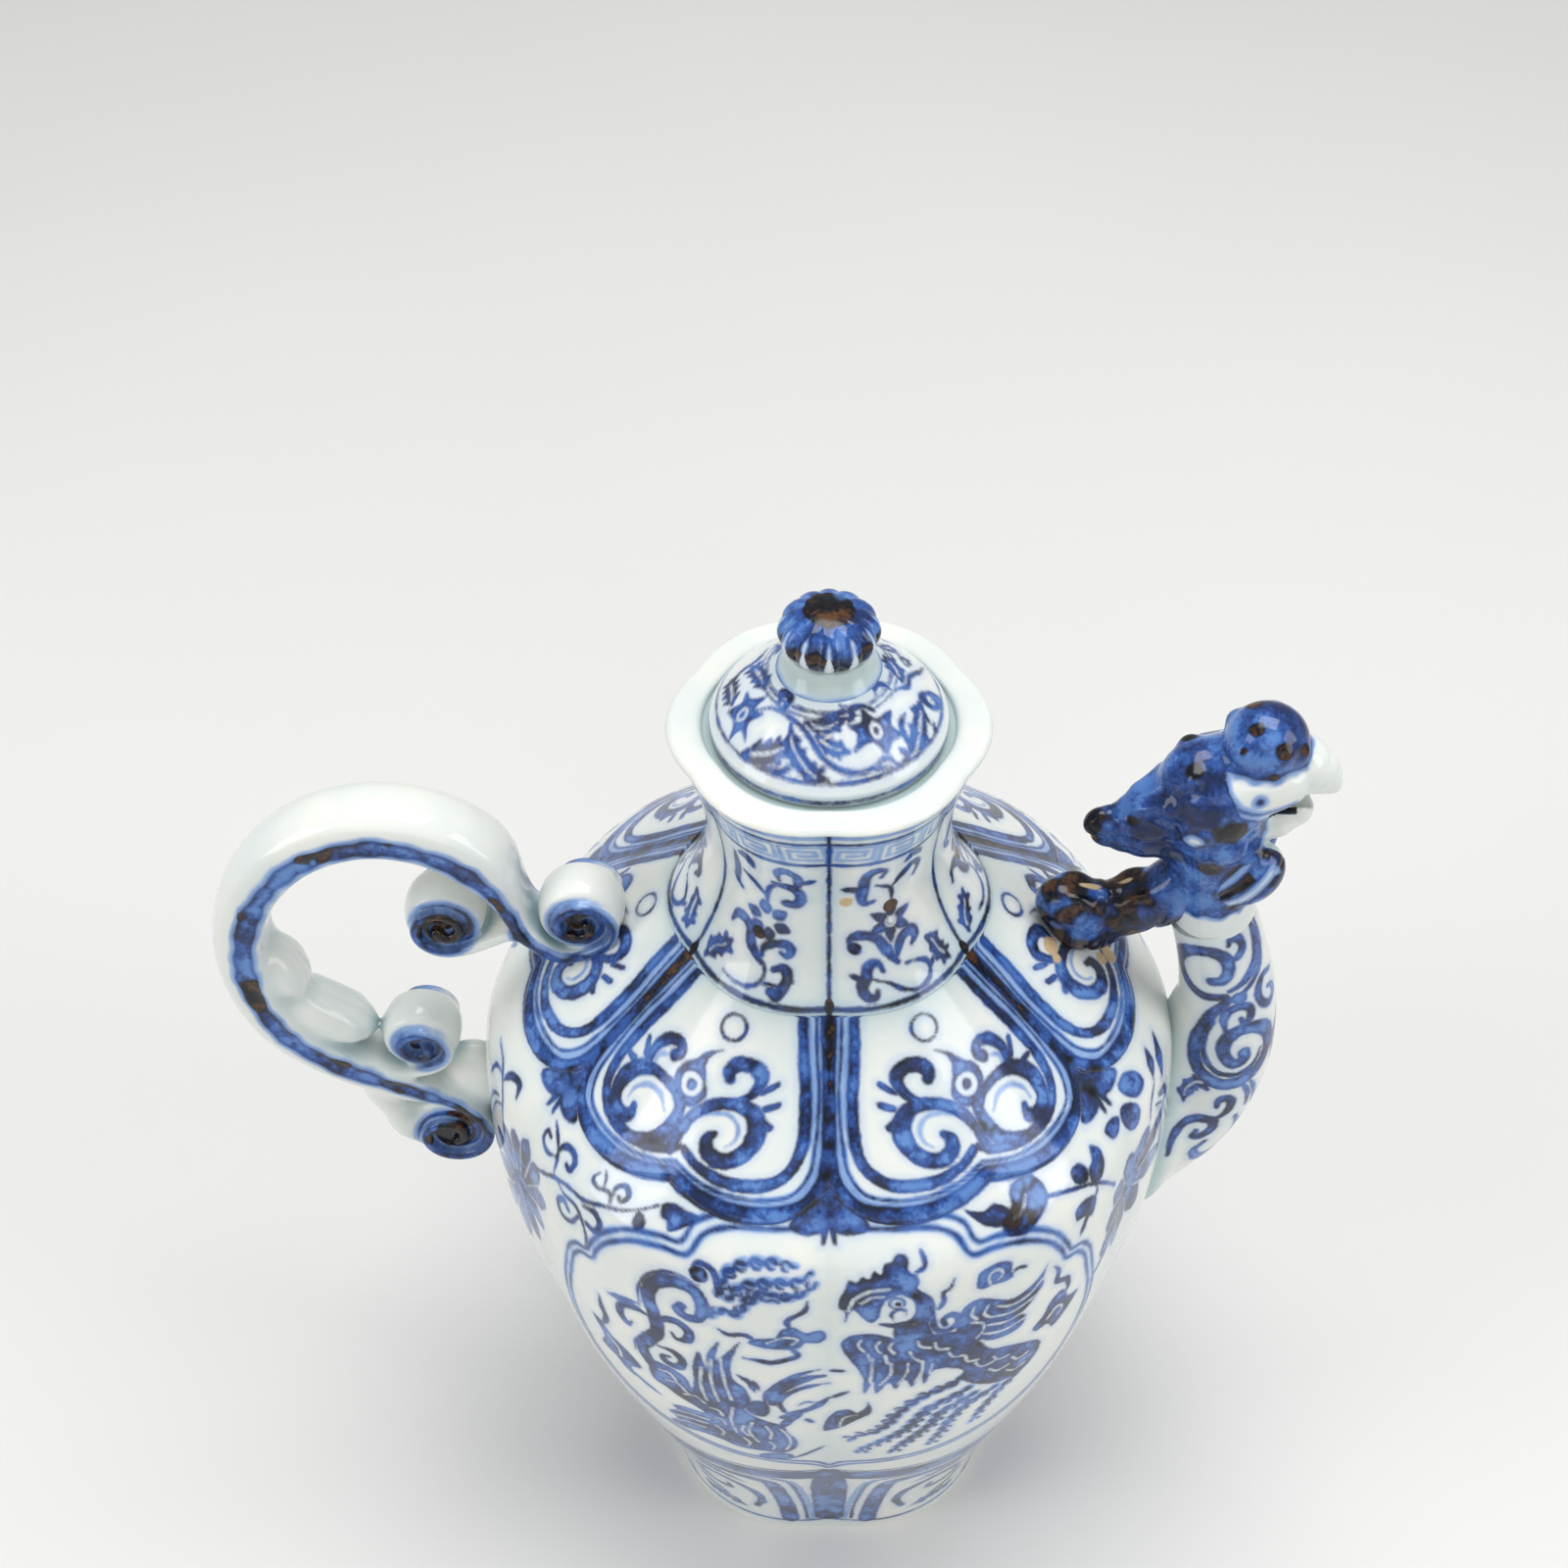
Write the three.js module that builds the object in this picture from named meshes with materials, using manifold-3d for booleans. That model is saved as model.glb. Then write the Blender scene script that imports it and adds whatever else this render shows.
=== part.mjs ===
// Phoenix-head ewer: a six-lobed porcelain wine ewer with a bird-headed spout, a scrolled strap
// handle and a domed lid. Millimetres, +Z up, +X towards the spout, origin under the foot on the axis.
// The potter forms each clay piece by itself and lutes it to its neighbour, so each is a solid here.
import * as THREE from "three";
import { mergeVertices } from "three/addons/utils/BufferGeometryUtils.js";
import Module from "manifold-3d";

const wasm = await Module();
wasm.setup();

// Body
const LOBES = 6;
const FOOT_RADIUS = 46;
const BELLY_RADIUS = 75;
const BELLY_HEIGHT = 122;
const BODY_HEIGHT = 181;
const SHOULDER_SLOPE = 1.3; // radius gained for each millimetre down from the neck
const SHOULDER_ROUNDING = 8;
const MOULD_SEAM_HEIGHT = 90; // where the lower and upper mouldings meet
const BODY_WALL = 5;
const BASE_THICKNESS = 6;
const FOOT_CLEFT = 0.065; // depth of the groove between lobes, as a share of the radius
const BODY_CLEFT = 0.048;
const CLEFT_SOFTNESS = 0.13;
const BELLY_FULLNESS = 1.45;

// Neck and mouth
const NECK_SEAT_RADIUS = 33.3;
const NECK_WAIST_RADIUS = 24.2;
const NECK_WALL = 3.6;
const RIM_RADIUS = 31;
const NECK_HEIGHT = 49; // from the shoulder to the rim
const NECK_WAIST_AT = 0.45; // share of the neck's height
const NECK_FLARE = 1.7;
const NECK_CLEFT = 0.05;
const LEDGE_DEPTH = 1.6; // from the rim down to the ledge that carries the lid
const LIP_ROUNDING = 1.6;

// Lid
const LID_RADIUS = 22.6;
const LID_CLEARANCE = 1.4; // around the lid's edge
const LID_RISE = 14.7;
const LID_THICKNESS = 3.4;
const LID_EDGE = 2.6;
const FLANGE_CLEARANCE = 1;
const FLANGE_WALL = 2.6;
const FLANGE_DEPTH = 9;
const KNOB_RADIUS = 9.5;
const KNOB_HALF_HEIGHT = 6;
const KNOB_STEM_RADIUS = 8;
const KNOB_STEM_HEIGHT = 4.4;
const KNOB_PETALS = 12;
const KNOB_PETAL_DEPTH = 0.05;

// Spout and the bird's head
const SPOUT_ROOT_HEIGHT = 104; // where the wine way passes the body's wall
const SPOUT_ROOT_RADIUS = 13.3;
const SPOUT_TOP_DROP = 5; // from the body's top down to the spout's
const SPOUT_TOP_REACH = 3.4; // the spout's top, out from the belly
const SPOUT_TOP_RADIUS = 8.7;
const SPOUT_BULGE = 14; // how far past the belly the spout's curve is drawn
const SPOUT_BORE = 5.4;
const BEAK_BORE = 3.9;
const THROAT_HALF_WIDTH = 8.8;
const HEAD_HALF_WIDTH = 10.8;
const HEAD_STEP = 1; // millimetres to one step of the grid on which the head is laid out
const CREST_BALL_RADIUS = 7.9;
const STRUT_AT = 50; // the strut's foot on the shoulder, from the axis
const STRUT_HALF_WIDTH = 6;
const STRUT_HALF_DEPTH = 7;

// Handle
const LOOP_STANDOFF = 16; // the loop's centre, out from the belly
const LOOP_DROP = 15; // from the body's top down to the loop's centre
const LOOP_REACH = 29;
const LOOP_RISE = 36;
const LOOP_TILT = 8; // degrees, the loop's top leaning towards the neck
const STRAP_HALF_WIDTH = 7.5;
const STRAP_INNER = 3.3; // from the strap's middle line to the finger side
const STRAP_SIDE = 2.8;
const STRAP_CROWN = 4.6;
const UPPER_SCROLL_RADIUS = 7.7;
const LOWER_SCROLL_RADIUS = 9;
const INNER_ROLL_RADIUS = 7;
const SCROLL_STRIP = 1.2; // half the thickness of the rolled strip
const SCROLL_CROWN = 1.8;
const SCROLL_GROOVE = 2.4; // depth of the spiral groove in each end of a roll
const SCROLL_TURNS = 1.25;
const UPPER_SCROLL_AT = 50.5; // from the axis
const LOWER_SCROLL_DROP = 58; // from the loop's centre down to the lower scroll
const LEAF_HALF_WIDTH = 6.6;
const WEB_HALF_WIDTH = 5;

// Fits
const LUTE_GAP = 0.3; // clay-to-clay joint
const LIFT_GAP = 0.3; // under the resting lid

// Facets
const AROUND = 48;
const TUBE_SIDES = 14;
const ROLL_SIDES = 16;

const lerp = (a, b, t) => a + (b - a) * t;
const clamp01 = (t) => Math.min(1, Math.max(0, t));
const smooth = (t) => clamp01(t) ** 2 * (3 - 2 * clamp01(t));
const stations = (from, to, count) =>
  Array.from({ length: count + 1 }, (_, i) => lerp(from, to, i / count));
const turn = (i, count) => (2 * Math.PI * i) / count;
const inPlane = (x, z) => new THREE.Vector3(x, 0, z);
const between = (a, b, t) => a.clone().lerp(b, t);
const spline = (points) => new THREE.CatmullRomCurve3(points, false, "centripetal");

// The lesser of two lengths, rounded where they cross.
const softMin = (a, b, k) => (a + b - Math.hypot(a - b, k)) / 2;

// Radius factor of a lobed outline: 1 on a lobe's crown, 1 - depth in the cleft between two lobes.
function lobeFactor(angle, depth, lobes = LOBES) {
  const c = Math.cos((lobes / 2) * angle);
  return 1 - depth * (1 - Math.sqrt(c * c * (1 - CLEFT_SOFTNESS ** 2) + CLEFT_SOFTNESS ** 2));
}

// Outer radius of the body on a lobe's crown: a swell up from the foot, met by the shoulder's cone.
function bodyRadius(z) {
  const swell = Math.sin((Math.PI / 2) * clamp01(z / BELLY_HEIGHT)) ** BELLY_FULLNESS;
  const side = lerp(FOOT_RADIUS, BELLY_RADIUS, swell);
  const shoulder = NECK_SEAT_RADIUS + SHOULDER_SLOPE * (BODY_HEIGHT - z);
  return softMin(side, shoulder, SHOULDER_ROUNDING);
}

// Height at which the shoulder has a given radius.
const shoulderHeight = (radius) => BODY_HEIGHT - (radius - NECK_SEAT_RADIUS) / SHOULDER_SLOPE;

const bodyCleft = (z) => lerp(FOOT_CLEFT, BODY_CLEFT, clamp01((2 * z) / BELLY_HEIGHT));

// Outer radius of the neck: a skirt on the shoulder, a waist, and a flare to the mouth.
const rimHeight = BODY_HEIGHT + NECK_HEIGHT;
const neckWaistHeight = lerp(BODY_HEIGHT, rimHeight, NECK_WAIST_AT);
function neckRadius(z) {
  if (z < neckWaistHeight) {
    const skirt = (neckWaistHeight - z) / (neckWaistHeight - BODY_HEIGHT);
    return lerp(NECK_WAIST_RADIUS, NECK_SEAT_RADIUS, clamp01(skirt) ** 2);
  }
  const flare = (z - neckWaistHeight) / (rimHeight - neckWaistHeight);
  return lerp(NECK_WAIST_RADIUS, RIM_RADIUS, clamp01(flare) ** NECK_FLARE);
}

// One horizontal ring of points, lobed by depth.
function ring(radius, z, depth = 0, lobes = LOBES) {
  return Array.from({ length: AROUND }, (_, i) => {
    const a = turn(i, AROUND);
    const r = radius * lobeFactor(a, depth, lobes);
    return new THREE.Vector3(r * Math.cos(a), r * Math.sin(a), z);
  });
}

// Stitches rings into one closed skin. A loop joins the last ring to the first; otherwise both ends
// are capped from their centres.
function skin(rings, loop = false) {
  const count = rings[0].length;
  const points = rings.flat();
  const faces = [];
  const at = (r, i) => (r % rings.length) * count + (i % count);
  const spans = loop ? rings.length : rings.length - 1;
  for (let r = 0; r < spans; r++) {
    for (let i = 0; i < count; i++) {
      faces.push(at(r, i), at(r, i + 1), at(r + 1, i + 1));
      faces.push(at(r, i), at(r + 1, i + 1), at(r + 1, i));
    }
  }
  for (const r of loop ? [] : [0, rings.length - 1]) {
    const sum = rings[r].reduce((total, p) => total.add(p), new THREE.Vector3());
    points.push(sum.multiplyScalar(1 / count));
    const centre = points.length - 1;
    for (let i = 0; i < count; i++) {
      faces.push(...(r === 0 ? [centre, at(r, i + 1), at(r, i)] : [centre, at(r, i), at(r, i + 1)]));
    }
  }
  const geometry = new THREE.BufferGeometry().setFromPoints(points);
  geometry.setIndex(faces);
  return geometry;
}

// A closed geometry as a solid, turned the right way out.
function solid(geometry) {
  const bare = geometry.clone();
  bare.deleteAttribute("normal");
  bare.deleteAttribute("uv");
  const merged = mergeVertices(bare, 1e-4);
  const vertProperties = new Float32Array(merged.attributes.position.array);
  const triVerts = new Uint32Array(merged.index.array);
  const make = () => new wasm.Manifold(new wasm.Mesh({ numProp: 3, vertProperties, triVerts }));
  const made = make();
  if (made.volume() > 0) return made;
  for (let i = 0; i < triVerts.length; i += 3) {
    [triVerts[i + 1], triVerts[i + 2]] = [triVerts[i + 2], triVerts[i + 1]];
  }
  return make();
}

// A solid back as a geometry.
function geometryOf(manifold) {
  const mesh = manifold.getMesh();
  const positions = [];
  for (let i = 0; i < mesh.vertProperties.length; i += mesh.numProp) {
    positions.push(...mesh.vertProperties.slice(i, i + 3));
  }
  const geometry = new THREE.BufferGeometry();
  geometry.setAttribute("position", new THREE.Float32BufferAttribute(positions, 3));
  geometry.setIndex([...mesh.triVerts]);
  geometry.computeVertexNormals();
  return geometry;
}

const joined = (solids) => solids.reduce((whole, next) => whole.add(next));

// An oval section of a tube, as [across the path, along Y] pairs.
const oval = (across, wide) =>
  Array.from({ length: TUBE_SIDES }, (_, i) => {
    const a = turn(i, TUBE_SIDES);
    return [across * Math.cos(a), wide * Math.sin(a)];
  });

// Carries a section along a path in the XZ plane. The section is asked for at each share of the
// path's length, with the point reached.
function sweep(path, steps, section) {
  const rings = stations(0, 1, steps).map((t) => {
    const point = path.getPointAt(t);
    const ahead = path.getTangentAt(t);
    const left = inPlane(-ahead.z, ahead.x).normalize();
    return section(t, point).map(([across, y]) => point.clone().addScaledVector(left, across).setY(y));
  });
  return solid(skin(rings));
}

// An ellipsoid with its long axis tilted up from +X, in degrees.
function blob([x, y, z], [long, wide, high], tilt = 0) {
  const shape = new THREE.SphereGeometry(1, 10, 7).scale(long, wide, high);
  shape.rotateY(-THREE.MathUtils.degToRad(tilt)).translate(x, y, z);
  return solid(shape);
}

const mirrored = ([x, y, z], size, tilt) => [blob([x, y, z], size, tilt), blob([x, -y, z], size, tilt)];

// The solid that the body's outside bounds, grown by a gap: it cuts the saddle of what is luted on.
function bodyEnvelope(gap) {
  const rings = stations(0, BODY_HEIGHT, 24).map((z) => ring(bodyRadius(z) + gap, z, bodyCleft(z)));
  return solid(skin(rings));
}

// A lobed wall between two heights, open at both ends.
function bodyWall(bottom, top, rows) {
  const outside = stations(bottom, top, rows).map((z) => ring(bodyRadius(z), z, bodyCleft(z)));
  const heights = stations(top, bottom, rows / 2);
  const inside = heights.map((z) => ring(bodyRadius(z) - BODY_WALL, z, bodyCleft(z)));
  return solid(skin([...outside, ...inside], true));
}

function baseSlab() {
  const fit = (z) => bodyRadius(z) - BODY_WALL - LUTE_GAP;
  return solid(skin([0, BASE_THICKNESS].map((z) => ring(fit(z), z, bodyCleft(z)))));
}

// Neck with a foliate rim, a rolled lip and the ledge that carries the lid.
const throatRadius = NECK_WAIST_RADIUS - NECK_WALL;
const ledgeHeight = rimHeight - LEDGE_DEPTH;
function neck() {
  const foot = BODY_HEIGHT + LUTE_GAP;
  const lipBore = LID_RADIUS + LID_CLEARANCE;
  const heights = stations(foot, rimHeight - LIP_ROUNDING, 9);
  const outside = heights.map((z) => ring(neckRadius(z), z, NECK_CLEFT));
  const lip = [
    ring(RIM_RADIUS - 0.3 * LIP_ROUNDING, rimHeight - 0.3 * LIP_ROUNDING, NECK_CLEFT),
    ring(RIM_RADIUS - 1.2 * LIP_ROUNDING, rimHeight, NECK_CLEFT),
    ring(lipBore + LIP_ROUNDING, rimHeight - 0.3 * LEDGE_DEPTH, NECK_CLEFT / 2),
    ring(lipBore, ledgeHeight),
    ring(throatRadius, ledgeHeight),
  ];
  const bore = stations(neckWaistHeight, foot, 3).map((z) => ring(neckRadius(z) - NECK_WALL, z));
  return solid(skin([...outside, ...lip, ...bore], true));
}

// Lid: a domed cap, its locating flange and a petalled knob.
const lidBottom = ledgeHeight + LIFT_GAP;
function domeHeight(r) {
  return lidBottom + LID_EDGE + LID_RISE * Math.cos((Math.PI / 2) * (r / LID_RADIUS)) ** 0.8;
}
const flangeRadius = throatRadius - FLANGE_CLEARANCE;

function lidDome() {
  const under = [0.2, 0.65].map((s) => {
    const r = s * (flangeRadius - FLANGE_WALL);
    return ring(r, domeHeight(r) - LID_THICKNESS);
  });
  const edge = [
    ring(flangeRadius - FLANGE_WALL, lidBottom),
    ring(LID_RADIUS - 0.5, lidBottom),
    ring(LID_RADIUS, lidBottom + 0.5),
    ring(LID_RADIUS, lidBottom + LID_EDGE - 0.4),
  ];
  const over = [0.97, 0.86, 0.7, 0.5, 0.28].map((s) => ring(s * LID_RADIUS, domeHeight(s * LID_RADIUS)));
  return solid(skin([...under, ...edge, ...over]));
}

function lidFlange() {
  const top = lidBottom - LUTE_GAP;
  const bottom = lidBottom - FLANGE_DEPTH;
  const inner = flangeRadius - FLANGE_WALL;
  const rings = [
    ring(inner, bottom),
    ring(flangeRadius - 0.5, bottom),
    ring(flangeRadius, bottom + 1),
    ring(flangeRadius, top),
    ring(inner, top),
  ];
  return solid(skin(rings, true));
}

const knobSeat = domeHeight(0.28 * LID_RADIUS) + LUTE_GAP;
function lidKnob() {
  const centre = knobSeat + KNOB_STEM_HEIGHT + 0.55 * KNOB_HALF_HEIGHT;
  const stemFoot = 1.15 * KNOB_STEM_RADIUS;
  const stem = [
    ring(0.26 * LID_RADIUS, knobSeat),
    ring(stemFoot, domeHeight(stemFoot) + LUTE_GAP),
    ring(KNOB_STEM_RADIUS, knobSeat + 0.3 * KNOB_STEM_HEIGHT),
    ring(0.95 * KNOB_STEM_RADIUS, knobSeat + 0.7 * KNOB_STEM_HEIGHT),
  ];
  const petals = [-34, -14, 6, 26, 46, 66].map((latitude) => {
    const a = THREE.MathUtils.degToRad(latitude);
    const z = centre + KNOB_HALF_HEIGHT * Math.sin(a);
    return ring(KNOB_RADIUS * Math.cos(a), z, KNOB_PETAL_DEPTH, KNOB_PETALS);
  });
  return solid(skin([...stem, ...petals]));
}

// The wine way: out through the body's wall, up the spout, round under the palate and out of the beak.
const spoutTopHeight = BODY_HEIGHT - SPOUT_TOP_DROP;
const spoutTop = inPlane(BELLY_RADIUS + SPOUT_TOP_REACH, spoutTopHeight);
const spoutPath = new THREE.CubicBezierCurve3(
  inPlane(
    bodyRadius(SPOUT_ROOT_HEIGHT) - 0.68 * SPOUT_ROOT_RADIUS,
    SPOUT_ROOT_HEIGHT - 0.38 * SPOUT_ROOT_RADIUS,
  ),
  inPlane(BELLY_RADIUS + SPOUT_BULGE, SPOUT_ROOT_HEIGHT + 0.83 * SPOUT_ROOT_RADIUS),
  inPlane(BELLY_RADIUS + SPOUT_BULGE, lerp(SPOUT_ROOT_HEIGHT, spoutTopHeight, 0.6)),
  spoutTop.clone().add(inPlane(-0.06 * SPOUT_TOP_RADIUS, 0.17 * SPOUT_TOP_RADIUS)),
);

// A place on the head's grid, counted in steps from the spout's top.
const byHead = (x, z) => spoutTop.clone().add(inPlane(x * HEAD_STEP, z * HEAD_STEP));
const mouth = byHead(14, 31);

function wineWay() {
  const throat = [byHead(-1.6, 8), byHead(-1.6, 16), byHead(0.5, 24)];
  const inHead = [...throat, byHead(6, 29.5), mouth, byHead(30, 33)];
  const path = spline([...spoutPath.getPoints(5), ...inHead]);
  const narrowing = (z) => smooth((z - spoutTopHeight) / (mouth.z - spoutTopHeight));
  return sweep(path, 28, (t, point) => {
    const r = lerp(SPOUT_BORE, BEAK_BORE, narrowing(point.z));
    return oval(r, r);
  });
}

// The spout's outside, grown by a gap, up to its level top.
function spoutOutside(gap) {
  const tube = sweep(spoutPath, 13, (t, point) => {
    const up = clamp01((point.z - SPOUT_ROOT_HEIGHT) / (spoutTopHeight - SPOUT_ROOT_HEIGHT));
    const r = lerp(SPOUT_ROOT_RADIUS, SPOUT_TOP_RADIUS, up) + gap;
    return oval(r, r);
  });
  const above = 4 * SPOUT_TOP_RADIUS;
  const cut = new THREE.BoxGeometry(above, above, above);
  cut.translate(spoutTop.x, 0, spoutTopHeight + above / 2);
  return tube.subtract(solid(cut));
}

// The bird's throat and skull, grown by a gap: level ovals stacked on the spout's top, each as
// [steps above it, shift along X and half length in steps, half width].
function skull(gap) {
  const w = HEAD_HALF_WIDTH;
  const ovals = [
    [LUTE_GAP / HEAD_STEP, 0, SPOUT_TOP_RADIUS / HEAD_STEP, SPOUT_TOP_RADIUS],
    [8, -1, 9.2, THROAT_HALF_WIDTH],
    [17, -1.8, 10.2, 1.05 * THROAT_HALF_WIDTH],
    [25, -2.2, 12.2, 0.94 * w],
    [32, -1.4, 13.6, w],
    [40, -0.2, 13.4, 0.95 * w],
    [44.5, 1.2, 10.5, 0.75 * w],
    [48, 2, 6, 0.45 * w],
  ];
  const rings = ovals.map(([up, shift, long, wide]) =>
    Array.from({ length: TUBE_SIDES }, (_, i) => {
      const a = turn(i, TUBE_SIDES);
      return byHead(shift + (long + gap / HEAD_STEP) * Math.cos(a), up).setY((wide + gap) * Math.sin(a));
    }),
  );
  return solid(skin(rings));
}

// A horn of clay, such as a beak or a crest feather: an oval tube that narrows from root to tip,
// both given in steps.
function horn(points, root, tip, fade = 1) {
  return sweep(spline(points), 8, (t) => {
    const s = t ** fade;
    return oval(HEAD_STEP * lerp(root[0], tip[0], s), HEAD_STEP * lerp(root[1], tip[1], s));
  });
}

function phoenixHead() {
  const w = HEAD_HALF_WIDTH;
  const at = (x, y, z) => byHead(x, z).setY(y).toArray();
  const steps = (...sizes) => sizes.map((size) => size * HEAD_STEP);
  const upperBeakLine = [byHead(6, 40.5), byHead(13.5, 40.8), byHead(18.6, 37.6), byHead(20.4, 33.4)];
  const lowerBeakLine = [byHead(3, 22), byHead(10.5, 25), byHead(16.2, 28.4)];
  const featherLine = [byHead(-6, 26.5), byHead(-20.4, 25.6), byHead(-27, 26.3)];
  const pieces = [
    skull(0),
    horn(upperBeakLine, [7, 6.4], [0.7, 0.7], 1.5),
    horn(lowerBeakLine, [6, 6.2], [1.1, 1.8], 1.4),
    horn(featherLine, [8.5, 6.5], [1.5, 1.5], 1.2),
    blob(at(5, 0, 48.6), [CREST_BALL_RADIUS, CREST_BALL_RADIUS, CREST_BALL_RADIUS]),
    blob(at(-8.2, 0, 38.5), steps(8.4, 6.4, 8.6)),
    ...mirrored(at(-3.6, 0.72 * w, 37), steps(8.4, 4.8, 8.2)),
    ...mirrored(at(-8, 0.8 * w, 30.6), steps(4, 3.4, 3.6)),
    ...mirrored(at(0.2, 0.62 * w, 46.5), steps(3, 3, 2.8)),
    ...mirrored(at(7.6, 0.5 * w, 45.5), steps(3, 2.8, 2.6)),
    ...mirrored(at(3.8, 0.48 * w, 11.2), steps(10, 4.2, 5), 42),
  ];
  return joined(pieces).subtract(wineWay());
}

// The cloud-shaped strut that stays the spout: from the shoulder to the bird's throat.
function cloudStrut() {
  const foot = shoulderHeight(STRUT_AT);
  const reach = spoutTop.x - STRUT_AT;
  const points = [
    inPlane(STRUT_AT - 0.57 * STRUT_HALF_DEPTH, foot + 1.36 * STRUT_HALF_DEPTH),
    inPlane(STRUT_AT + 0.25 * reach, foot + 0.93 * STRUT_HALF_DEPTH),
    inPlane(STRUT_AT + 0.5 * reach, lerp(foot, spoutTopHeight, 0.5) + STRUT_HALF_DEPTH),
    byHead(-5, 9),
  ];
  const bar = sweep(spline(points), 12, (t) => {
    const end = Math.sqrt(1 - clamp01(1 - t / 0.16) ** 2 * 0.9);
    return oval(STRUT_HALF_DEPTH * end * lerp(1.05, 0.85, t), STRUT_HALF_WIDTH * end);
  });
  return bar.subtract(bodyEnvelope(LUTE_GAP)).subtract(skull(LUTE_GAP)).subtract(spoutOutside(LUTE_GAP));
}

// Handle: a C-shaped strap, crowned outside and flat on the finger side, whose two ends roll up
// into scrolls, with a smaller roll set inside each end of the loop.
const loopCentre = inPlane(-(BELLY_RADIUS + LOOP_STANDOFF), BODY_HEIGHT - LOOP_DROP);
function onLoop(degrees) {
  const a = THREE.MathUtils.degToRad(degrees);
  const upright = new THREE.Vector2(LOOP_REACH * Math.cos(a), LOOP_RISE * Math.sin(a));
  const { x, y } = upright.rotateAround(new THREE.Vector2(), -THREE.MathUtils.degToRad(LOOP_TILT));
  return loopCentre.clone().add(inPlane(x, y));
}
const upperScroll = inPlane(
  -UPPER_SCROLL_AT,
  shoulderHeight(UPPER_SCROLL_AT) + UPPER_SCROLL_RADIUS + 2 * SCROLL_STRIP,
);
const lowerScrollHeight = loopCentre.z - LOWER_SCROLL_DROP;
const lowerScroll = inPlane(
  -(bodyRadius(lowerScrollHeight) + LOWER_SCROLL_RADIUS + SCROLL_STRIP),
  lowerScrollHeight,
);

// A place beside a roll, counted in its radii.
const byRoll = (centre, radius, x, z) => centre.clone().add(inPlane(x * radius, z * radius));

// Points of a spiral from its outer end inwards.
function spiral(centre, radius, from, sense) {
  const steps = Math.round(SCROLL_TURNS * 10);
  return stations(0, SCROLL_TURNS, steps).map((turns) => {
    const a = THREE.MathUtils.degToRad(from + sense * 360 * turns);
    const r = radius * lerp(1, 0.22, turns / SCROLL_TURNS);
    return centre.clone().add(inPlane(r * Math.cos(a), r * Math.sin(a)));
  });
}

// The barrel that backs a rolled strip and fills it between the two end grooves.
function barrel(centre, radius) {
  const depth = STRAP_HALF_WIDTH - SCROLL_GROOVE;
  const rings = [-1, -0.6, 0, 0.6, 1].map((s) => {
    const r = radius + SCROLL_CROWN * Math.sqrt(1 - s * s);
    return Array.from({ length: ROLL_SIDES }, (_, i) => {
      const a = turn(i, ROLL_SIDES);
      return centre.clone().add(new THREE.Vector3(r * Math.cos(a), s * depth, r * Math.sin(a)));
    });
  });
  return solid(skin(rings));
}

// Section of the strap. Share 1 is the crowned strap and share 0 the thin strip of a roll.
function strapSection(share, gap) {
  const w = STRAP_HALF_WIDTH + gap;
  const inner = lerp(SCROLL_STRIP, STRAP_INNER, share) + gap;
  const side = lerp(SCROLL_STRIP, STRAP_SIDE, share) + gap;
  const crown = (s) => -side - share * STRAP_CROWN * Math.sqrt(1 - s * s);
  const outside = [-1, -0.85, -0.45, 0, 0.45, 0.85, 1].map((s) => [crown(s), s * w]);
  return [...outside, [inner, 0.92 * w], [inner + 0.3 * share, 0], [inner, -0.92 * w]];
}

function strap(gap) {
  const path = spline([
    ...spiral(upperScroll, UPPER_SCROLL_RADIUS, -70, 1).reverse(),
    byRoll(upperScroll, UPPER_SCROLL_RADIUS, -0.58, -1.21),
    byRoll(upperScroll, UPPER_SCROLL_RADIUS, -1.42, -0.52),
    ...stations(22, 250, 9).map(onLoop),
    byRoll(between(onLoop(250), lowerScroll, 0.5), LOWER_SCROLL_RADIUS, 0.17, 0.67),
    byRoll(lowerScroll, LOWER_SCROLL_RADIUS, 0.31, 1.29),
    ...spiral(lowerScroll, LOWER_SCROLL_RADIUS, 40, -1),
  ]);
  return sweep(path, 70, (t, point) => {
    const fromUpper = point.distanceTo(upperScroll) / UPPER_SCROLL_RADIUS;
    const fromLower = point.distanceTo(lowerScroll) / LOWER_SCROLL_RADIUS;
    return strapSection(Math.min(smooth((fromUpper - 1) / 2.6), smooth((fromLower - 1) / 1.3)), gap);
  });
}

function handleStrap() {
  const leafAt = (degrees, inwards) => between(onLoop(degrees), loopCentre, inwards).toArray();
  const wallAt = loopCentre.z - 0.95 * LOOP_RISE;
  const web = between(lowerScroll, inPlane(-bodyRadius(wallAt), wallAt), 0.62);
  const leaf = [1.2 * LEAF_HALF_WIDTH, LEAF_HALF_WIDTH, 0.7 * LEAF_HALF_WIDTH];
  const parts = [
    strap(0),
    barrel(upperScroll, UPPER_SCROLL_RADIUS - SCROLL_STRIP / 2),
    barrel(lowerScroll, LOWER_SCROLL_RADIUS - SCROLL_STRIP / 2),
    blob(web.toArray(), [1.6 * WEB_HALF_WIDTH, WEB_HALF_WIDTH, 2 * WEB_HALF_WIDTH]),
    blob(leafAt(200, 0.18), leaf, -66),
    blob(leafAt(226, 0.18), leaf, -42),
    blob(leafAt(243, 0.23), leaf, -34),
    blob(byRoll(lowerScroll, LOWER_SCROLL_RADIUS, -1.44, 1.17).toArray(), leaf, -52),
    blob(byRoll(lowerScroll, LOWER_SCROLL_RADIUS, -1.17, 0.28).toArray(), leaf, -76),
  ];
  return joined(parts).subtract(bodyEnvelope(LUTE_GAP));
}

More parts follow.
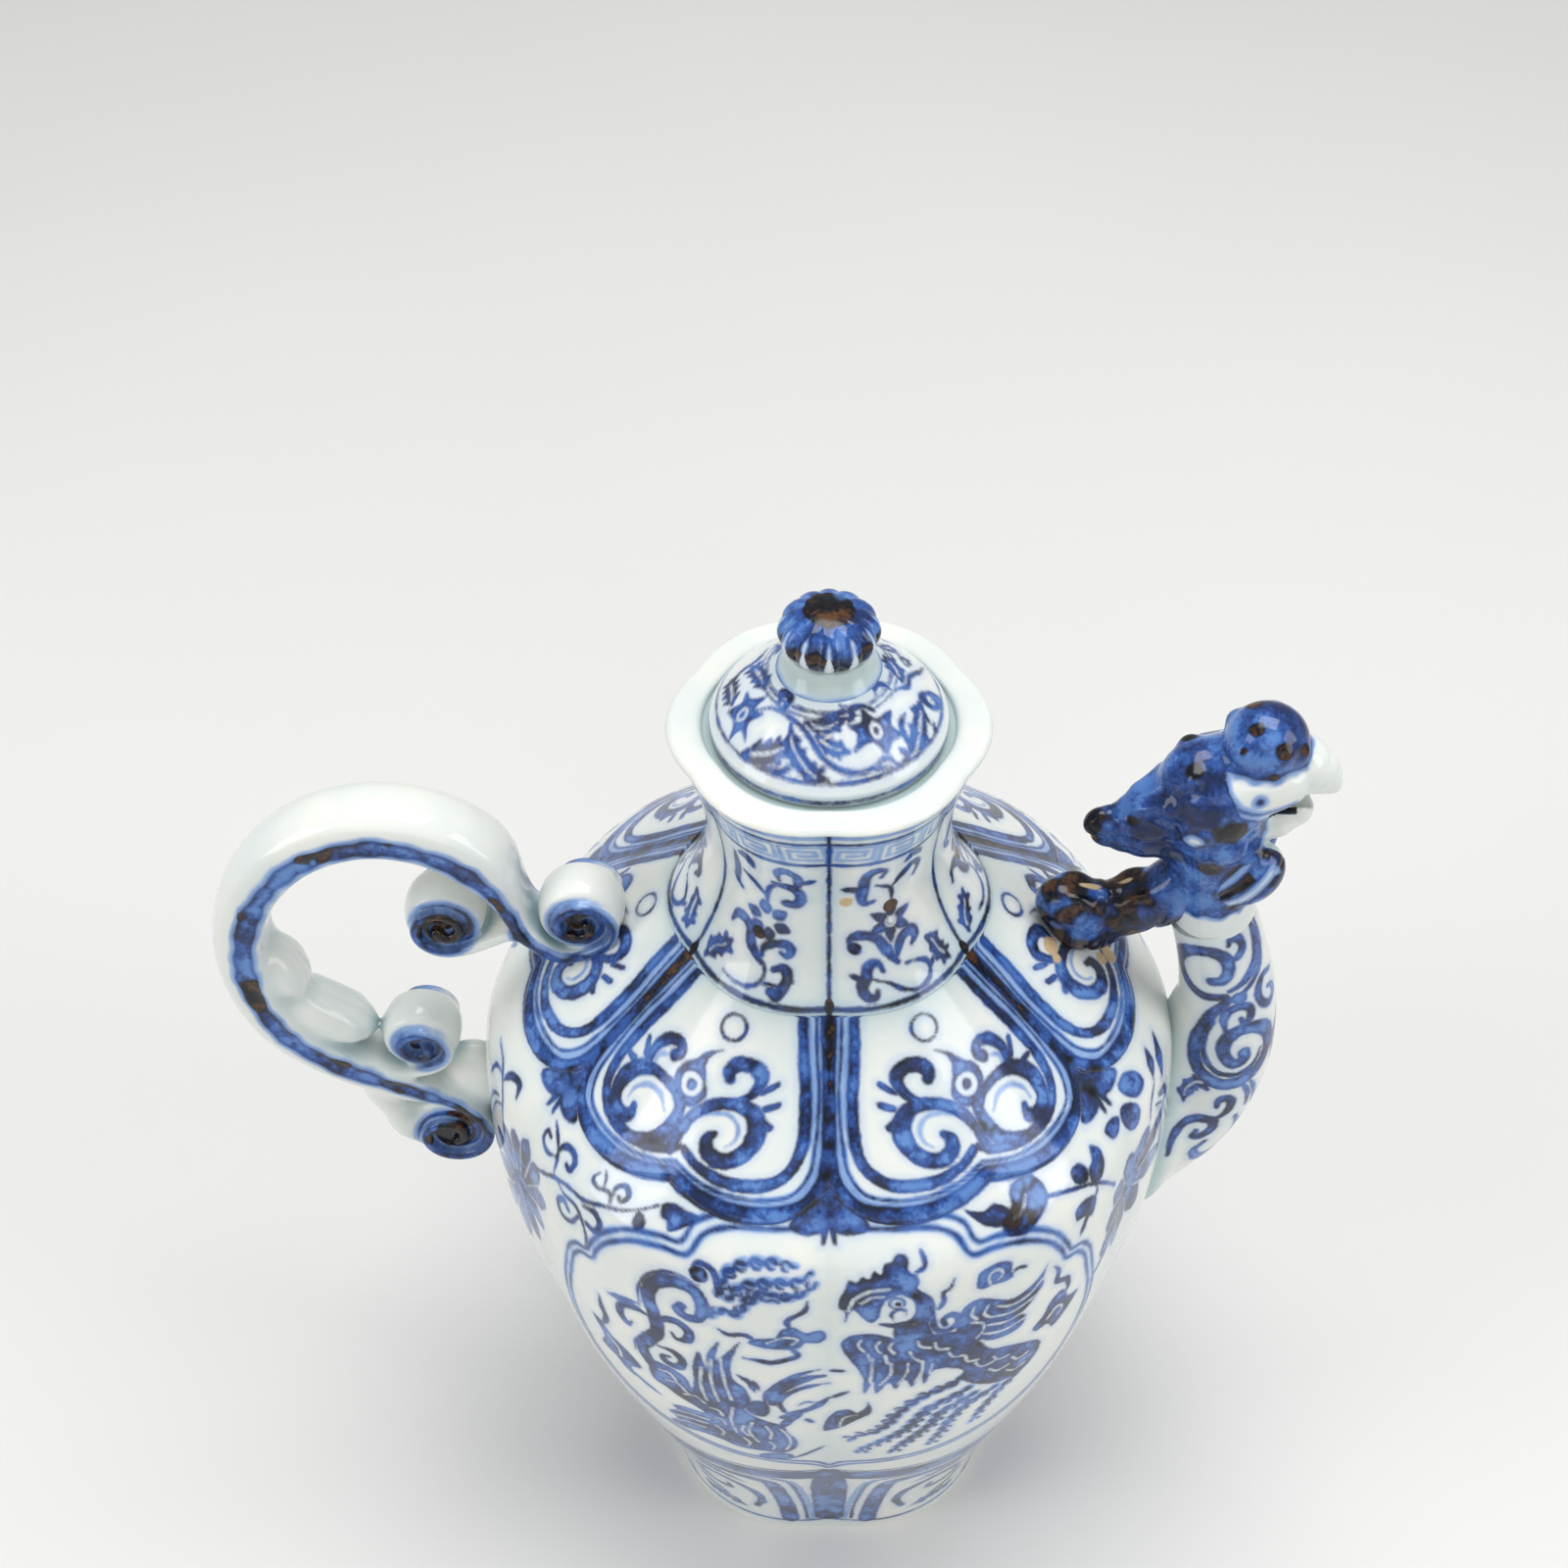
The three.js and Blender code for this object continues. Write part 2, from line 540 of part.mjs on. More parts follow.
// A roll set inside the loop: its strip leaves the strap at the stem and winds in.
function innerRoll(centre, from, sense, stem) {
  const path = spline([stem, ...spiral(centre, INNER_ROLL_RADIUS, from, sense)]);
  const strip = sweep(path, 26, () => strapSection(0, 0));
  return joined([strip, barrel(centre, INNER_ROLL_RADIUS - SCROLL_STRIP / 3)]).subtract(strap(LUTE_GAP));
}

function upperRoll() {
  const centre = byRoll(onLoop(45), INNER_ROLL_RADIUS, -1.6, -1.64);
  return innerRoll(centre, -65, -1, byRoll(onLoop(24), INNER_ROLL_RADIUS, -0.22, -0.13));
}

function lowerRoll() {
  const centre = byRoll(onLoop(285), INNER_ROLL_RADIUS, 0.09, 1.14);
  return innerRoll(centre, -75, 1, byRoll(centre, INNER_ROLL_RADIUS, -1, -1.29));
}

// Glazes
const white = new THREE.MeshStandardMaterial({ color: 0xe6ebe6, roughness: 0.12, metalness: 0 });
const cobalt = new THREE.MeshStandardMaterial({ color: 0x2b4584, roughness: 0.14, metalness: 0 });
const ironCobalt = new THREE.MeshStandardMaterial({ color: 0x33302f, roughness: 0.2, metalness: 0 });
const bareClay = new THREE.MeshStandardMaterial({ color: 0xd9cdb8, roughness: 0.75, metalness: 0 });

function piece(name, manifold, material) {
  const mesh = new THREE.Mesh(geometryOf(manifold), material);
  mesh.name = name;
  return mesh;
}

const bodyUpper = () => bodyWall(MOULD_SEAM_HEIGHT, BODY_HEIGHT, 12).subtract(wineWay());
const spout = () => spoutOutside(0).subtract(wineWay()).subtract(bodyEnvelope(LUTE_GAP));

const ewer = new THREE.Group();
ewer.add(
  piece("base_slab", baseSlab(), bareClay),
  piece("body_lower", bodyWall(0, MOULD_SEAM_HEIGHT - LUTE_GAP, 8), white),
  piece("body_upper", bodyUpper(), white),
  piece("neck", neck(), white),
  piece("spout", spout(), white),
  piece("phoenix_head", phoenixHead(), cobalt),
  piece("cloud_strut", cloudStrut(), ironCobalt),
  piece("handle_strap", handleStrap(), white),
  piece("handle_roll_upper", upperRoll(), white),
  piece("handle_roll_lower", lowerRoll(), white),
);

const lid = new THREE.Group();
lid.add(
  piece("lid_dome", lidDome(), white),
  piece("lid_flange", lidFlange(), bareClay),
  piece("lid_knob", lidKnob(), cobalt),
);

const group = new THREE.Group();
group.add(ewer, lid);
export default group;
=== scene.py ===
# %% [markdown]
# # Phoenix-head ewer
# A porcelain wine ewer, painted in cobalt under a clear glaze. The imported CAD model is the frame: it fixes
# where each piece sits and what moves. Here every clay piece gets the surface and the brushwork that the
# eye sees. All shapes are worked out in millimetres with numpy and put into meshes in metres.

# %% Load the frame
import math

import bpy
import numpy as np
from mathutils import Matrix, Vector


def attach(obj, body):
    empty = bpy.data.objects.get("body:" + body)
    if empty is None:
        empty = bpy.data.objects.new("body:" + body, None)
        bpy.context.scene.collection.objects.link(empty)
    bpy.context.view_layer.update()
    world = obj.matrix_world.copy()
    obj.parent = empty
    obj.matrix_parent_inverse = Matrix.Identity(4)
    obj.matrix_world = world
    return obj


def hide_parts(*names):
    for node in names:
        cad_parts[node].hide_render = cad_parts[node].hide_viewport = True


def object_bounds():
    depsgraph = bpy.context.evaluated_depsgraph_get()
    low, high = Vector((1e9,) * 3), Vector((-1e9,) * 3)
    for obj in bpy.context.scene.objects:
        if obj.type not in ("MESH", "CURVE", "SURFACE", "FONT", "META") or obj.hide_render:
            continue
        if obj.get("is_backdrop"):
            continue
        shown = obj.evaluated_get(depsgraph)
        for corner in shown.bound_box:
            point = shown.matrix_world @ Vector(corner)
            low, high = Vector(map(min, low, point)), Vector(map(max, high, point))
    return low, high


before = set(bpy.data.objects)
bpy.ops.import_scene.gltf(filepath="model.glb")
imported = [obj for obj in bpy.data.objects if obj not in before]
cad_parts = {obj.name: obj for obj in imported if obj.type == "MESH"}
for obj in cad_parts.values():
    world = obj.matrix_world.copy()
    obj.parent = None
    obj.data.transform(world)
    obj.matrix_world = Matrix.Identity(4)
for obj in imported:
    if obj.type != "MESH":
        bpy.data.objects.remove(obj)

cad_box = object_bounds()
MM = 0.001

# %% [markdown]
# ## Curves and meshes
# A potter's shapes are profiles and paths, so two small tools do most of the work: a smooth curve through a
# few points, and a grid of points stitched into a mesh. Numpy works on whole arrays, which keeps it fast.

# %% A smooth curve through a few points
def spline(points, step=0.6):
    """Centripetal Catmull-Rom curve through the points, sampled every step. Between two points the curve is
    a double blend of straight lines, with knots spaced by the square root of the distance."""
    p = np.asarray(points, float)
    if len(p) < 3:
        count = max(2, int(np.linalg.norm(p[-1] - p[0]) / step) + 1)
        return p[0] + (p[-1] - p[0]) * np.linspace(0, 1, count)[:, None]
    ends = np.vstack([2 * p[0] - p[1], p, 2 * p[-1] - p[-2]])
    out = []
    for a, b, c, d in zip(ends, ends[1:], ends[2:], ends[3:]):
        gaps = [max(np.linalg.norm(w - v), 1e-6) for v, w in ((a, b), (b, c), (c, d))]
        tb, tc, td = np.cumsum(np.sqrt(gaps))
        count = max(1, math.ceil(gaps[1] / step))
        t = (tb + (tc - tb) * np.arange(count) / count)[:, None]
        ab = (tb - t) / tb * a + t / tb * b
        bc = (tc - t) / (tc - tb) * b + (t - tb) / (tc - tb) * c
        cd = (td - t) / (td - tc) * c + (t - tc) / (td - tc) * d
        left = (tc - t) / tc * ab + t / tc * bc
        right = (td - t) / (td - tb) * bc + (t - tb) / (td - tb) * cd
        out.append((tc - t) / (tc - tb) * left + (t - tb) / (tc - tb) * right)
    return np.vstack(out + [p[-1:]])


def even(path, step):
    """The same path with points at equal distances along it."""
    run = run_along(path)
    at = np.linspace(0, run[-1], max(2, int(run[-1] / step) + 1))
    return np.stack([np.interp(at, run, path[:, k]) for k in range(path.shape[1])], axis=1)


def smooth(t):
    """Eases from 0 to 1: three squares less two cubes."""
    t = np.clip(t, 0, 1)
    return t * t * (3 - 2 * t)


def mix(a, b, t):
    """a where t is 0, b where t is 1, evenly between."""
    return a + (b - a) * t


def run_along(path):
    """How far along the path each point lies."""
    return np.concatenate([[0], np.cumsum(np.linalg.norm(np.diff(path, axis=0), axis=1))])


def way_and_side(path):
    """Unit directions along a flat path, and the same turned a quarter to the left."""
    way = np.gradient(path, axis=0)
    way /= np.maximum(np.linalg.norm(way, axis=1, keepdims=True), 1e-9)
    return way, np.column_stack([-way[:, 1], way[:, 0]])


def around(count):
    """Angles all the way round, without the last one, which is the first again."""
    return np.arange(count) * 2 * np.pi / count


def revolve(r, turn, z):
    """Points on a ring of radius r at height z, for each angle of turn."""
    x = r * np.cos(turn)
    return np.stack([x, r * np.sin(turn), z + 0 * x], axis=-1)

# %% A grid of points as a mesh
def normals_of(grid, round_cols, round_rows=False):
    """Unit normals of a grid surface: the cross product of its two directions of travel."""
    padded = np.pad(grid, ((1, 1), (1, 1), (0, 0)), mode="edge")
    if round_cols:
        padded[:, 0], padded[:, -1] = padded[:, -3], padded[:, 2]
        padded[1:-1, 0], padded[1:-1, -1] = grid[:, -1], grid[:, 0]
    if round_rows:
        padded[0, 1:-1], padded[-1, 1:-1] = grid[-1], grid[0]
    down = padded[2:, 1:-1] - padded[:-2, 1:-1]
    along = padded[1:-1, 2:] - padded[1:-1, :-2]
    n = np.cross(down, along)
    return n / np.maximum(np.linalg.norm(n, axis=2, keepdims=True), 1e-12)


def put_mesh(name, points, faces, normals=None, fields=None):
    """Makes a mesh object from arrays: points in mm, faces as one array for each number of corners, unit
    normals and named values for each point."""
    mesh = bpy.data.meshes.new(name)
    corners = np.concatenate([f.ravel() for f in faces])
    sizes = np.concatenate([np.full(len(f), f.shape[1]) for f in faces])
    mesh.vertices.add(len(points))
    mesh.vertices.foreach_set("co", (points * MM).astype(np.float32).ravel())
    mesh.loops.add(len(corners))
    mesh.loops.foreach_set("vertex_index", corners.astype(np.int32))
    mesh.polygons.add(len(sizes))
    mesh.polygons.foreach_set("loop_start", (np.cumsum(sizes) - sizes).astype(np.int32))
    mesh.update(calc_edges=True)
    mesh.validate()
    mesh.shade_smooth()
    if normals is not None:
        mesh.normals_split_custom_set_from_vertices(normals.astype(np.float32))
    for field, values in (fields or {}).items():
        mesh.attributes.new(field, "FLOAT", "POINT").data.foreach_set("value", values.astype(np.float32))
    piece = bpy.data.objects.new(name, mesh)
    bpy.context.scene.collection.objects.link(piece)
    print(name, len(points), "points,", int((sizes - 2).sum()), "triangles")
    return piece


def grid_piece(name, grid, normals, fields, round_rows=False, close=()):
    """Stitches a grid (rows, columns, 3) whose rows are closed rings into quads that face the side where
    down x along points. close holds 0 for a pole on the first row and 1 for one on the last."""
    rows, cols = grid.shape[:2]
    i, j = np.meshgrid(np.arange(rows if round_rows else rows - 1), np.arange(cols), indexing="ij")
    at = lambda r, c: ((r % rows) * cols + c % cols).ravel()
    quads = np.stack([at(i, j), at(i + 1, j), at(i + 1, j + 1), at(i, j + 1)], axis=1)
    points, faces = grid.reshape(-1, 3), [quads]
    normals, fields = normals.reshape(-1, 3), {k: v.ravel() for k, v in fields.items()}
    c = np.arange(cols)
    for end in close:
        row = (rows - 1) * end
        pole = np.full(cols, len(points))
        rim = row * cols + c, row * cols + (c + 1) % cols
        faces.append(np.stack([pole, *(rim if end == 0 else rim[::-1])], axis=1))
        points = np.vstack([points, points[rim[0]].mean(0)])
        normals = np.vstack([normals, normals[rim[0]].mean(0) + 1e-9])
        fields = {k: np.append(v, v[rim[0]].mean()) for k, v in fields.items()}
    return put_mesh(name, points, faces, normals, fields)

# %% [markdown]
# ## The painter's brush
# The real decoration is cobalt brushed on the raw clay, then glazed over. A picture file would fix its
# sharpness, so each stroke is kept as a shape: every point of the surface learns how far it lies from the
# edge of the nearest stroke, negative inside. The material turns that distance into a line with a soft,
# slightly ragged edge. There are five layers: ink for dark strokes, wash for pale ones, gap for lines left
# white, iron for the spots where the cobalt heaped up and burnt brown, and grit for scars from the kiln.

# %% Strokes on a flat sheet
FAR = 3.0  # mm: the distance given to a place with no stroke near it
REACH = 1.8  # mm: how far outside a stroke its distance is worked out
PART = 12  # a stroke is laid down this many steps at a time


class Sheet:
    """The points of a surface laid flat, in mm: x runs along it and s down it. Fields hold the distances."""

    def __init__(self, x, s, fields=None):
        self.x, self.s = x.ravel(), s.ravel()
        self.shape = x.shape
        self.fields = fields or {
            "ink": np.full(x.size, FAR), "wash": np.full(x.size, FAR), "gap": np.full(x.size, FAR),
            "iron": np.zeros(x.size), "grit": np.full(x.size, FAR)}

    def near(self, low, high):
        """The numbers of the points in a box."""
        across = (self.x > low[0]) & (self.x < high[0])
        return np.flatnonzero(across & (self.s > low[1]) & (self.s < high[1]))

    def lay(self, layer, m, d, iron):
        """Keeps the least distance at the points m, and the most iron."""
        self.fields[layer][m] = np.minimum(self.fields[layer][m], d)
        if iron:
            self.fields["iron"][m] = np.maximum(self.fields["iron"][m], iron * smooth(0.5 - d))

    def stroke(self, layer, path, iron=0.0):
        """Distance to the middle line of a stroke less its half width, piece by piece."""
        for k in range(0, len(path) - 1, PART):
            part = path[k : k + PART + 1]
            reach = part[:, 2].max() + REACH
            m = self.near(part[:, :2].min(0) - reach, part[:, :2].max(0) + reach)
            if not m.size:
                continue
            a, b = part[:-1], part[1:]
            way = b[:, :2] - a[:, :2]
            qx, qs = self.x[m, None] - a[:, 0], self.s[m, None] - a[:, 1]
            t = np.clip((qx * way[:, 0] + qs * way[:, 1]) / np.maximum((way**2).sum(1), 1e-9), 0, 1)
            d = np.hypot(qx - t * way[:, 0], qs - t * way[:, 1]) - (a[:, 2] + t * (b[:, 2] - a[:, 2]))
            self.lay(layer, m, d.min(1), iron)

    def patch(self, layer, outline, iron=0.0):
        """Distance to a closed outline, negative where a ray sideways crosses it an odd number of times."""
        m = self.near(outline.min(0) - REACH, outline.max(0) + REACH)
        if not m.size:
            return
        a, b = outline, np.roll(outline, -1, axis=0)
        way = b - a
        x, s = self.x[m, None], self.s[m, None]
        t = ((x - a[:, 0]) * way[:, 0] + (s - a[:, 1]) * way[:, 1]) / np.maximum((way**2).sum(1), 1e-9)
        t = np.clip(t, 0, 1)
        d = np.hypot(x - a[:, 0] - t * way[:, 0], s - a[:, 1] - t * way[:, 1]).min(1)
        straddles = (a[:, 1] > s) != (b[:, 1] > s)
        slope = way[:, 0] / np.where(way[:, 1] == 0, 1e-9, way[:, 1])
        inside = (straddles & (x < a[:, 0] + (s - a[:, 1]) * slope)).sum(1) % 2 == 1
        self.lay(layer, m, np.where(inside, -d, d), iron)

    def paint(self, drawing, shift=(0, 0), flip=False):
        """Lays a whole drawing down, moved and, with flip, mirrored from left to right."""
        for layer, kind, shape, iron in drawing:
            moved = shape.copy()
            moved[:, :2] = moved[:, :2] * ([-1, 1] if flip else [1, 1]) + shift
            if kind == "stroke":
                self.stroke(layer, moved, iron)
            else:
                self.patch(layer, moved[:, :2], iron)

    def done(self):
        """The fields for the mesh, with the lines left white cut out of ink and wash."""
        f = self.fields
        keep = {"ink": np.maximum(f["ink"], -f["gap"]), "wash": np.maximum(f["wash"], -f["gap"]),
                "iron": f["iron"], "grit": f["grit"]}
        return {k: v.reshape(self.shape) for k, v in keep.items()}

# %% The kinds of stroke
def brush(points, half, ends=(0.35, 0.35), layer="ink", iron=0.0):
    """A stroke through points, half mm to each side in the middle, that narrows to a share at each end."""
    path = spline(points)
    t = np.linspace(0, 1, len(path))
    width = half * mix(ends[0], 1, smooth(t / 0.3)) * mix(ends[1], 1, smooth((1 - t) / 0.3))
    return layer, "stroke", np.column_stack([path, width]), iron


def cut(points, half=0.3):
    """A thin line left white."""
    return brush(points, half, (1, 1), "gap")


def swelling(points, widths, layer="ink", iron=0.0):
    """A stroke whose half width changes evenly between the widths given at each share of its length."""
    path = spline(points)
    t = np.linspace(0, 1, len(path))
    return layer, "stroke", np.column_stack([path, np.interp(t, *np.array(widths, float).T)]), iron


def fill(points, layer="ink", iron=0.0):
    """A filled shape: a smooth curve through points that overlaps itself, trimmed to one loop."""
    path = spline([*points[-2:], *points, *points[:2]], 0.7)
    start = np.argmin(np.linalg.norm(path - points[0], axis=1)[: len(path) // 2])
    back = path[start:]
    stop = len(back) // 2 + np.argmin(np.linalg.norm(back[len(back) // 2 :] - points[0], axis=1))
    return layer, "patch", back[:stop], iron


def ring(x, s, radius, half, layer="ink", iron=0.0):
    """A drawn circle: a stroke round a closed path."""
    a = np.linspace(0, 2 * np.pi, 33)
    path = np.column_stack([x + radius * np.cos(a), s + radius * np.sin(a), np.full(33, half)])
    return layer, "stroke", path, iron


def leaf(points, half, layer="ink", iron=0.0, lobes=4):
    """A leaf: a stroke that swells in the middle, with a white vein and round lobes along both sides."""
    path = spline(points)
    t = np.linspace(0, 1, len(path))
    width = half * np.sin(np.pi * np.clip(t, 0.04, 0.97)) ** 0.7
    out = [(layer, "stroke", np.column_stack([path, width]), iron)]
    way, side = way_and_side(path)
    for k in range(lobes):
        i = int(len(path) * (k + 1) / (lobes + 1))
        for sign in (-1, 1):
            root = path[i] + sign * side[i] * half * 0.5
            tip = path[i] + sign * side[i] * half * 1.05 + way[i] * half * 0.5
            out.append(brush([root, tip], 0.42 * half, (1, 0.7), layer, iron))
    vein = path[int(len(path) * 0.18) : int(len(path) * 0.8)]
    out.append(("gap", "stroke", np.column_stack([vein, np.full(len(vein), 0.14 * half)]), 0))
    return out


def plume(points, half, pitch=3.2, side=1, iron=0.0):
    """A flame-edged tail feather: a wavy stroke with barbs that sweep back from one side."""
    path = even(spline(points), 0.5)
    t = np.linspace(0, 1, len(path))
    run = 0.5 * np.arange(len(path))
    way, across = way_and_side(path)
    across = across * side
    wave = 0.35 * half * np.sin(2 * np.pi * run / pitch)
    width = half * (0.45 + 0.55 * smooth((1 - t) / 0.4)) * (0.75 + 0.25 * np.cos(2 * np.pi * run / pitch))
    out = [("ink", "stroke", np.column_stack([path + across * wave[:, None], width * 0.72]), iron)]
    out.append(("wash", "stroke", np.column_stack([path, width + 0.35]), 0))
    for k in np.arange(pitch * 0.6, run[-1] - pitch * 0.4, pitch):
        i = int(k / 0.5)
        hook = [path[i] + across[i] * half * 0.3, path[i] + across[i] * half * 1.3 + way[i] * half * 0.4,
                path[i] + across[i] * half * 1.5 + way[i] * half * 1.5]
        out.append(brush(hook, 0.42 * half, (1, 0.25), "ink", iron * 0.6))
    return out


def join(*parts):
    """One flat list from strokes and lists of strokes."""
    flat = []
    for part in parts:
        flat.extend(part if isinstance(part, list) else [part])
    return flat


def bolder(drawing, extra):
    """The same drawing with every dark stroke extra mm wider to each side."""
    return [(layer, kind, shape + ([0, 0, extra] if kind == "stroke" and layer == "ink" else 0), iron)
            for layer, kind, shape, iron in drawing]


def both(*parts):
    """The strokes and their mirror image across x = 0."""
    strokes = join(*parts)
    turned = [(layer, kind, shape * ([-1, 1, 1] if kind == "stroke" else [-1, 1]), iron)
              for layer, kind, shape, iron in strokes]
    return strokes + turned

# %% [markdown]
# ## Glazes
# Old cobalt is never one blue. It runs from a pale wash to blue black, bleeds a little into the glaze and
# burns brown where it is thick. One material holds all of that: it reads the distances painted on the
# surface, roughens them with noise, and picks the colour from how thick the pigment lies.

# %% Short ways to build a material
def add(tree, kind, **settings):
    """A new node with its settings."""
    made = tree.nodes.new(kind)
    for key, value in settings.items():
        setattr(made, key, value)
    return made


def feed(tree, socket, value):
    """Links an output to a socket, or sets the socket to a number or a colour."""
    if isinstance(value, bpy.types.NodeSocket):
        tree.links.new(value, socket)
    else:
        socket.default_value = value


def calc(tree, operation, *values, clamp=False):
    """One step of arithmetic on numbers or outputs."""
    made = add(tree, "ShaderNodeMath", operation=operation, use_clamp=clamp)
    for socket, value in zip(made.inputs, values):
        feed(tree, socket, value)
    return made.outputs[0]


def blend(tree, share, a, b):
    """Colour a where share is 0, b where it is 1."""
    made = add(tree, "ShaderNodeMix", data_type="RGBA", blend_type="MIX", clamp_factor=True)
    for socket, value in zip((made.inputs[0], made.inputs[6], made.inputs[7]), (share, a, b)):
        feed(tree, socket, value)
    return made.outputs[2]


def step(tree, value, low, high):
    """0 below low, 1 above high, eased between them. With low above high it falls instead."""
    made = add(tree, "ShaderNodeMapRange", interpolation_type="SMOOTHSTEP")
    for socket, given in zip(made.inputs, (value, low, high, 0.0, 1.0)):
        feed(tree, socket, given)
    return made.outputs[0]


def noise(tree, where, size, detail):
    """Noise with blotches about size mm across, from 0 to 1."""
    made = add(tree, "ShaderNodeTexNoise")
    tree.links.new(where, made.inputs["Vector"])
    made.inputs["Scale"].default_value = 1 / (size * MM)
    made.inputs["Detail"].default_value = detail
    made.inputs["Roughness"].default_value = 0.55
    return made.outputs["Fac"]


def ramp(tree, value, *stops):
    """The colour at value on a bar of (place, colour) stops."""
    made = add(tree, "ShaderNodeValToRGB")
    bar = made.color_ramp
    while len(bar.elements) < len(stops):
        bar.elements.new(0.5)
    for element, (at, colour) in zip(bar.elements, stops):
        element.position, element.color = at, colour
    tree.links.new(value, made.inputs[0])
    return made.outputs[0]


def field(tree, name):
    """One of the values kept at each point of the mesh."""
    return add(tree, "ShaderNodeAttribute", attribute_name=name).outputs["Fac"]


def rgb(red, green, blue):
    """A colour given as it looks on a screen, 0 to 255, as the linear light a material works in."""
    c = np.array([red, green, blue]) / 255
    return (*np.where(c <= 0.04045, c / 12.92, ((c + 0.055) / 1.055) ** 2.4), 1.0)


def new_material(name):
    """A material, its nodes, its shader, and where a point lies on the object."""
    made = bpy.data.materials.new(name)
    made.use_nodes = True
    tree = made.node_tree
    return made, tree, tree.nodes["Principled BSDF"], add(tree, "ShaderNodeTexCoord").outputs["Object"]

# %% Painted glaze
# The pooled white is glaze run thick in hollows and also painted shade there, so it is darker than the
# white.
WHITE, WHITE_WARM, POOLED_GLAZE_SHADE = rgb(220, 226, 223), rgb(230, 231, 225), rgb(168, 193, 196)
HALO, WASH_PALE, WASH_DEEP = rgb(160, 186, 224), rgb(140, 174, 222), rgb(84, 126, 192)
THIN_BLUE, COBALT, DEEP_BLUE, BLUE_BLACK = rgb(90, 134, 198), rgb(40, 80, 152), rgb(15, 36, 90), rgb(6, 9,
                                                                                                     20)
IRON_BROWN, KILN_GRIT = rgb(84, 54, 30), rgb(188, 156, 112)


